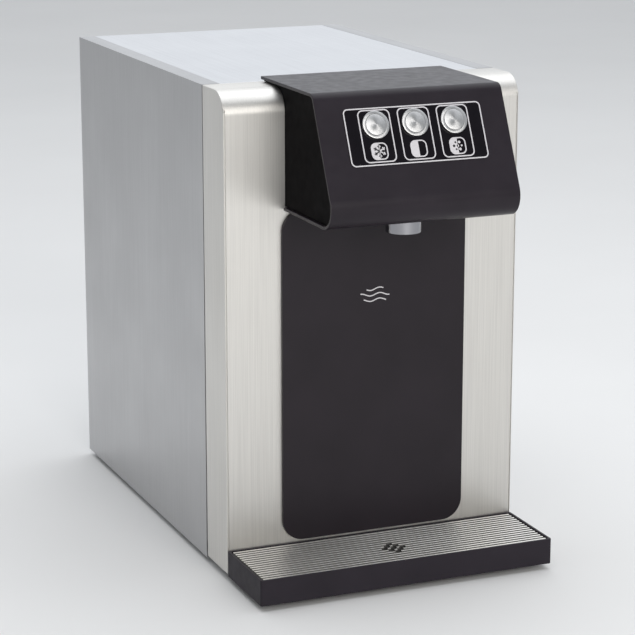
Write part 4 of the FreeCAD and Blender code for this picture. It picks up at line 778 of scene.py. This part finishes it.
def power_marks(face):
    """A line above the power switch and a ring below it."""
    low, high = box_along("power_switch_frame", BACK)
    middle = (low.x + high.x) / 2
    line = stroke([(middle, high.y + end) for end in ON_MARK], ON_LINE, face)
    rings = [circle((middle, low.y - OFF_BELOW), radius, steps=24) for radius in OFF_RADII]
    shapes = [line, plate(rings, face, face + PRINT)]
    add_piece("power_marks", joined(shapes), BACK_INK, "case", BACK)


# Stage, light and camera

# The floor's disc
FLOOR_RADIUS = 12.0
FLOOR_THICK = 0.02

# The bright side of the surroundings
GLOW_SIDE = Vector((0.45, 0.85, 0.25)).normalized()

# The camera: its place, how far it looks down and to the right in degrees, and its lens in mm
CAMERA_PLACE = (-0.745, -1.8123, 0.6665)
CAMERA_DOWN = 14.02
CAMERA_RIGHT = 22.69
FOCAL_LENGTH = 129.5
SENSOR_WIDTH = 36


def soft_light(name, place, aim, size, power, colour):
    """A round lamp aimed at a point."""
    lamp = bpy.data.lights.new(name, "AREA")
    lamp.shape = "DISK"
    lamp.size = size
    lamp.energy = power
    lamp.color = colour
    holder = bpy.data.objects.new(name, lamp)
    holder.location = place
    holder.rotation_euler = (Vector(aim) - Vector(place)).to_track_quat("-Z", "Y").to_euler()
    bpy.context.scene.collection.objects.link(holder)


def soft_sky():
    """Studio surroundings: a cool glow at the back right, falling off to grey at the front left."""
    world = bpy.data.worlds.new("studio")
    world.use_nodes = True
    nodes, links = world.node_tree.nodes, world.node_tree.links
    toward = nodes.new("ShaderNodeVectorMath")
    toward.operation = "DOT_PRODUCT"
    toward.inputs[1].default_value = GLOW_SIDE
    links.new(nodes.new("ShaderNodeTexCoord").outputs["Generated"], toward.inputs[0])
    fade = nodes.new("ShaderNodeMapRange")
    fade.interpolation_type = "SMOOTHSTEP"
    for socket, value in (("From Min", -0.7), ("From Max", 0.95), ("To Min", 0.28), ("To Max", 1.0)):
        fade.inputs[socket].default_value = value
    links.new(toward.outputs["Value"], fade.inputs["Value"])
    sky = nodes["Background"]
    sky.inputs["Color"].default_value = (0.93, 0.96, 1.0, 1)
    links.new(fade.outputs["Result"], sky.inputs["Strength"])
    return world


def studio():
    """A pale floor under soft light from above and from the front."""
    floor_paint = Finish("floor", (0.8, 0.795, 0.785), Specular_IOR_Level=0.2)
    floor_paint.tint(floor_paint.clouds(400 * MM), dark=0.985, light=1.01)
    floor_paint.polish(floor_paint.clouds(90 * MM), smooth=0.7, rough=0.8)
    mesh = plate([circle((0, 0), FLOOR_RADIUS, steps=64)], -FLOOR_THICK, 0)
    mesh.materials.append(floor_paint.material)
    floor = bpy.data.objects.new("floor", mesh)
    bpy.context.scene.collection.objects.link(floor)

    bpy.context.scene.world = soft_sky()
    bpy.context.scene.view_settings.view_transform = "Standard"

    soft_light("overhead", place=(0.2, 0.1, 2.6), aim=(0, 0, 0), size=3.4, power=34,
               colour=(0.95, 0.97, 1.0))
    soft_light("front", place=(-0.1, -2.9, 1.1), aim=(0, 0, 0.15), size=1.9, power=40,
               colour=(1.0, 0.98, 0.95))


def camera():
    """The view from the front left, a little above the machine."""
    lens = bpy.data.cameras.new("view")
    lens.lens = FOCAL_LENGTH
    lens.sensor_width = SENSOR_WIDTH
    holder = bpy.data.objects.new("view", lens)
    holder.location = CAMERA_PLACE
    holder.rotation_euler = (math.radians(90 - CAMERA_DOWN), 0, math.radians(-CAMERA_RIGHT))
    bpy.context.scene.collection.objects.link(holder)
    bpy.context.scene.camera = holder


dress_nodes()
buttons()
label_print()
wave_mark()
weld_beads()
back_face = box_along("rear_panel", BACK)[1].z
dial_scale(back_face)
power_marks(back_face)
studio()
camera()
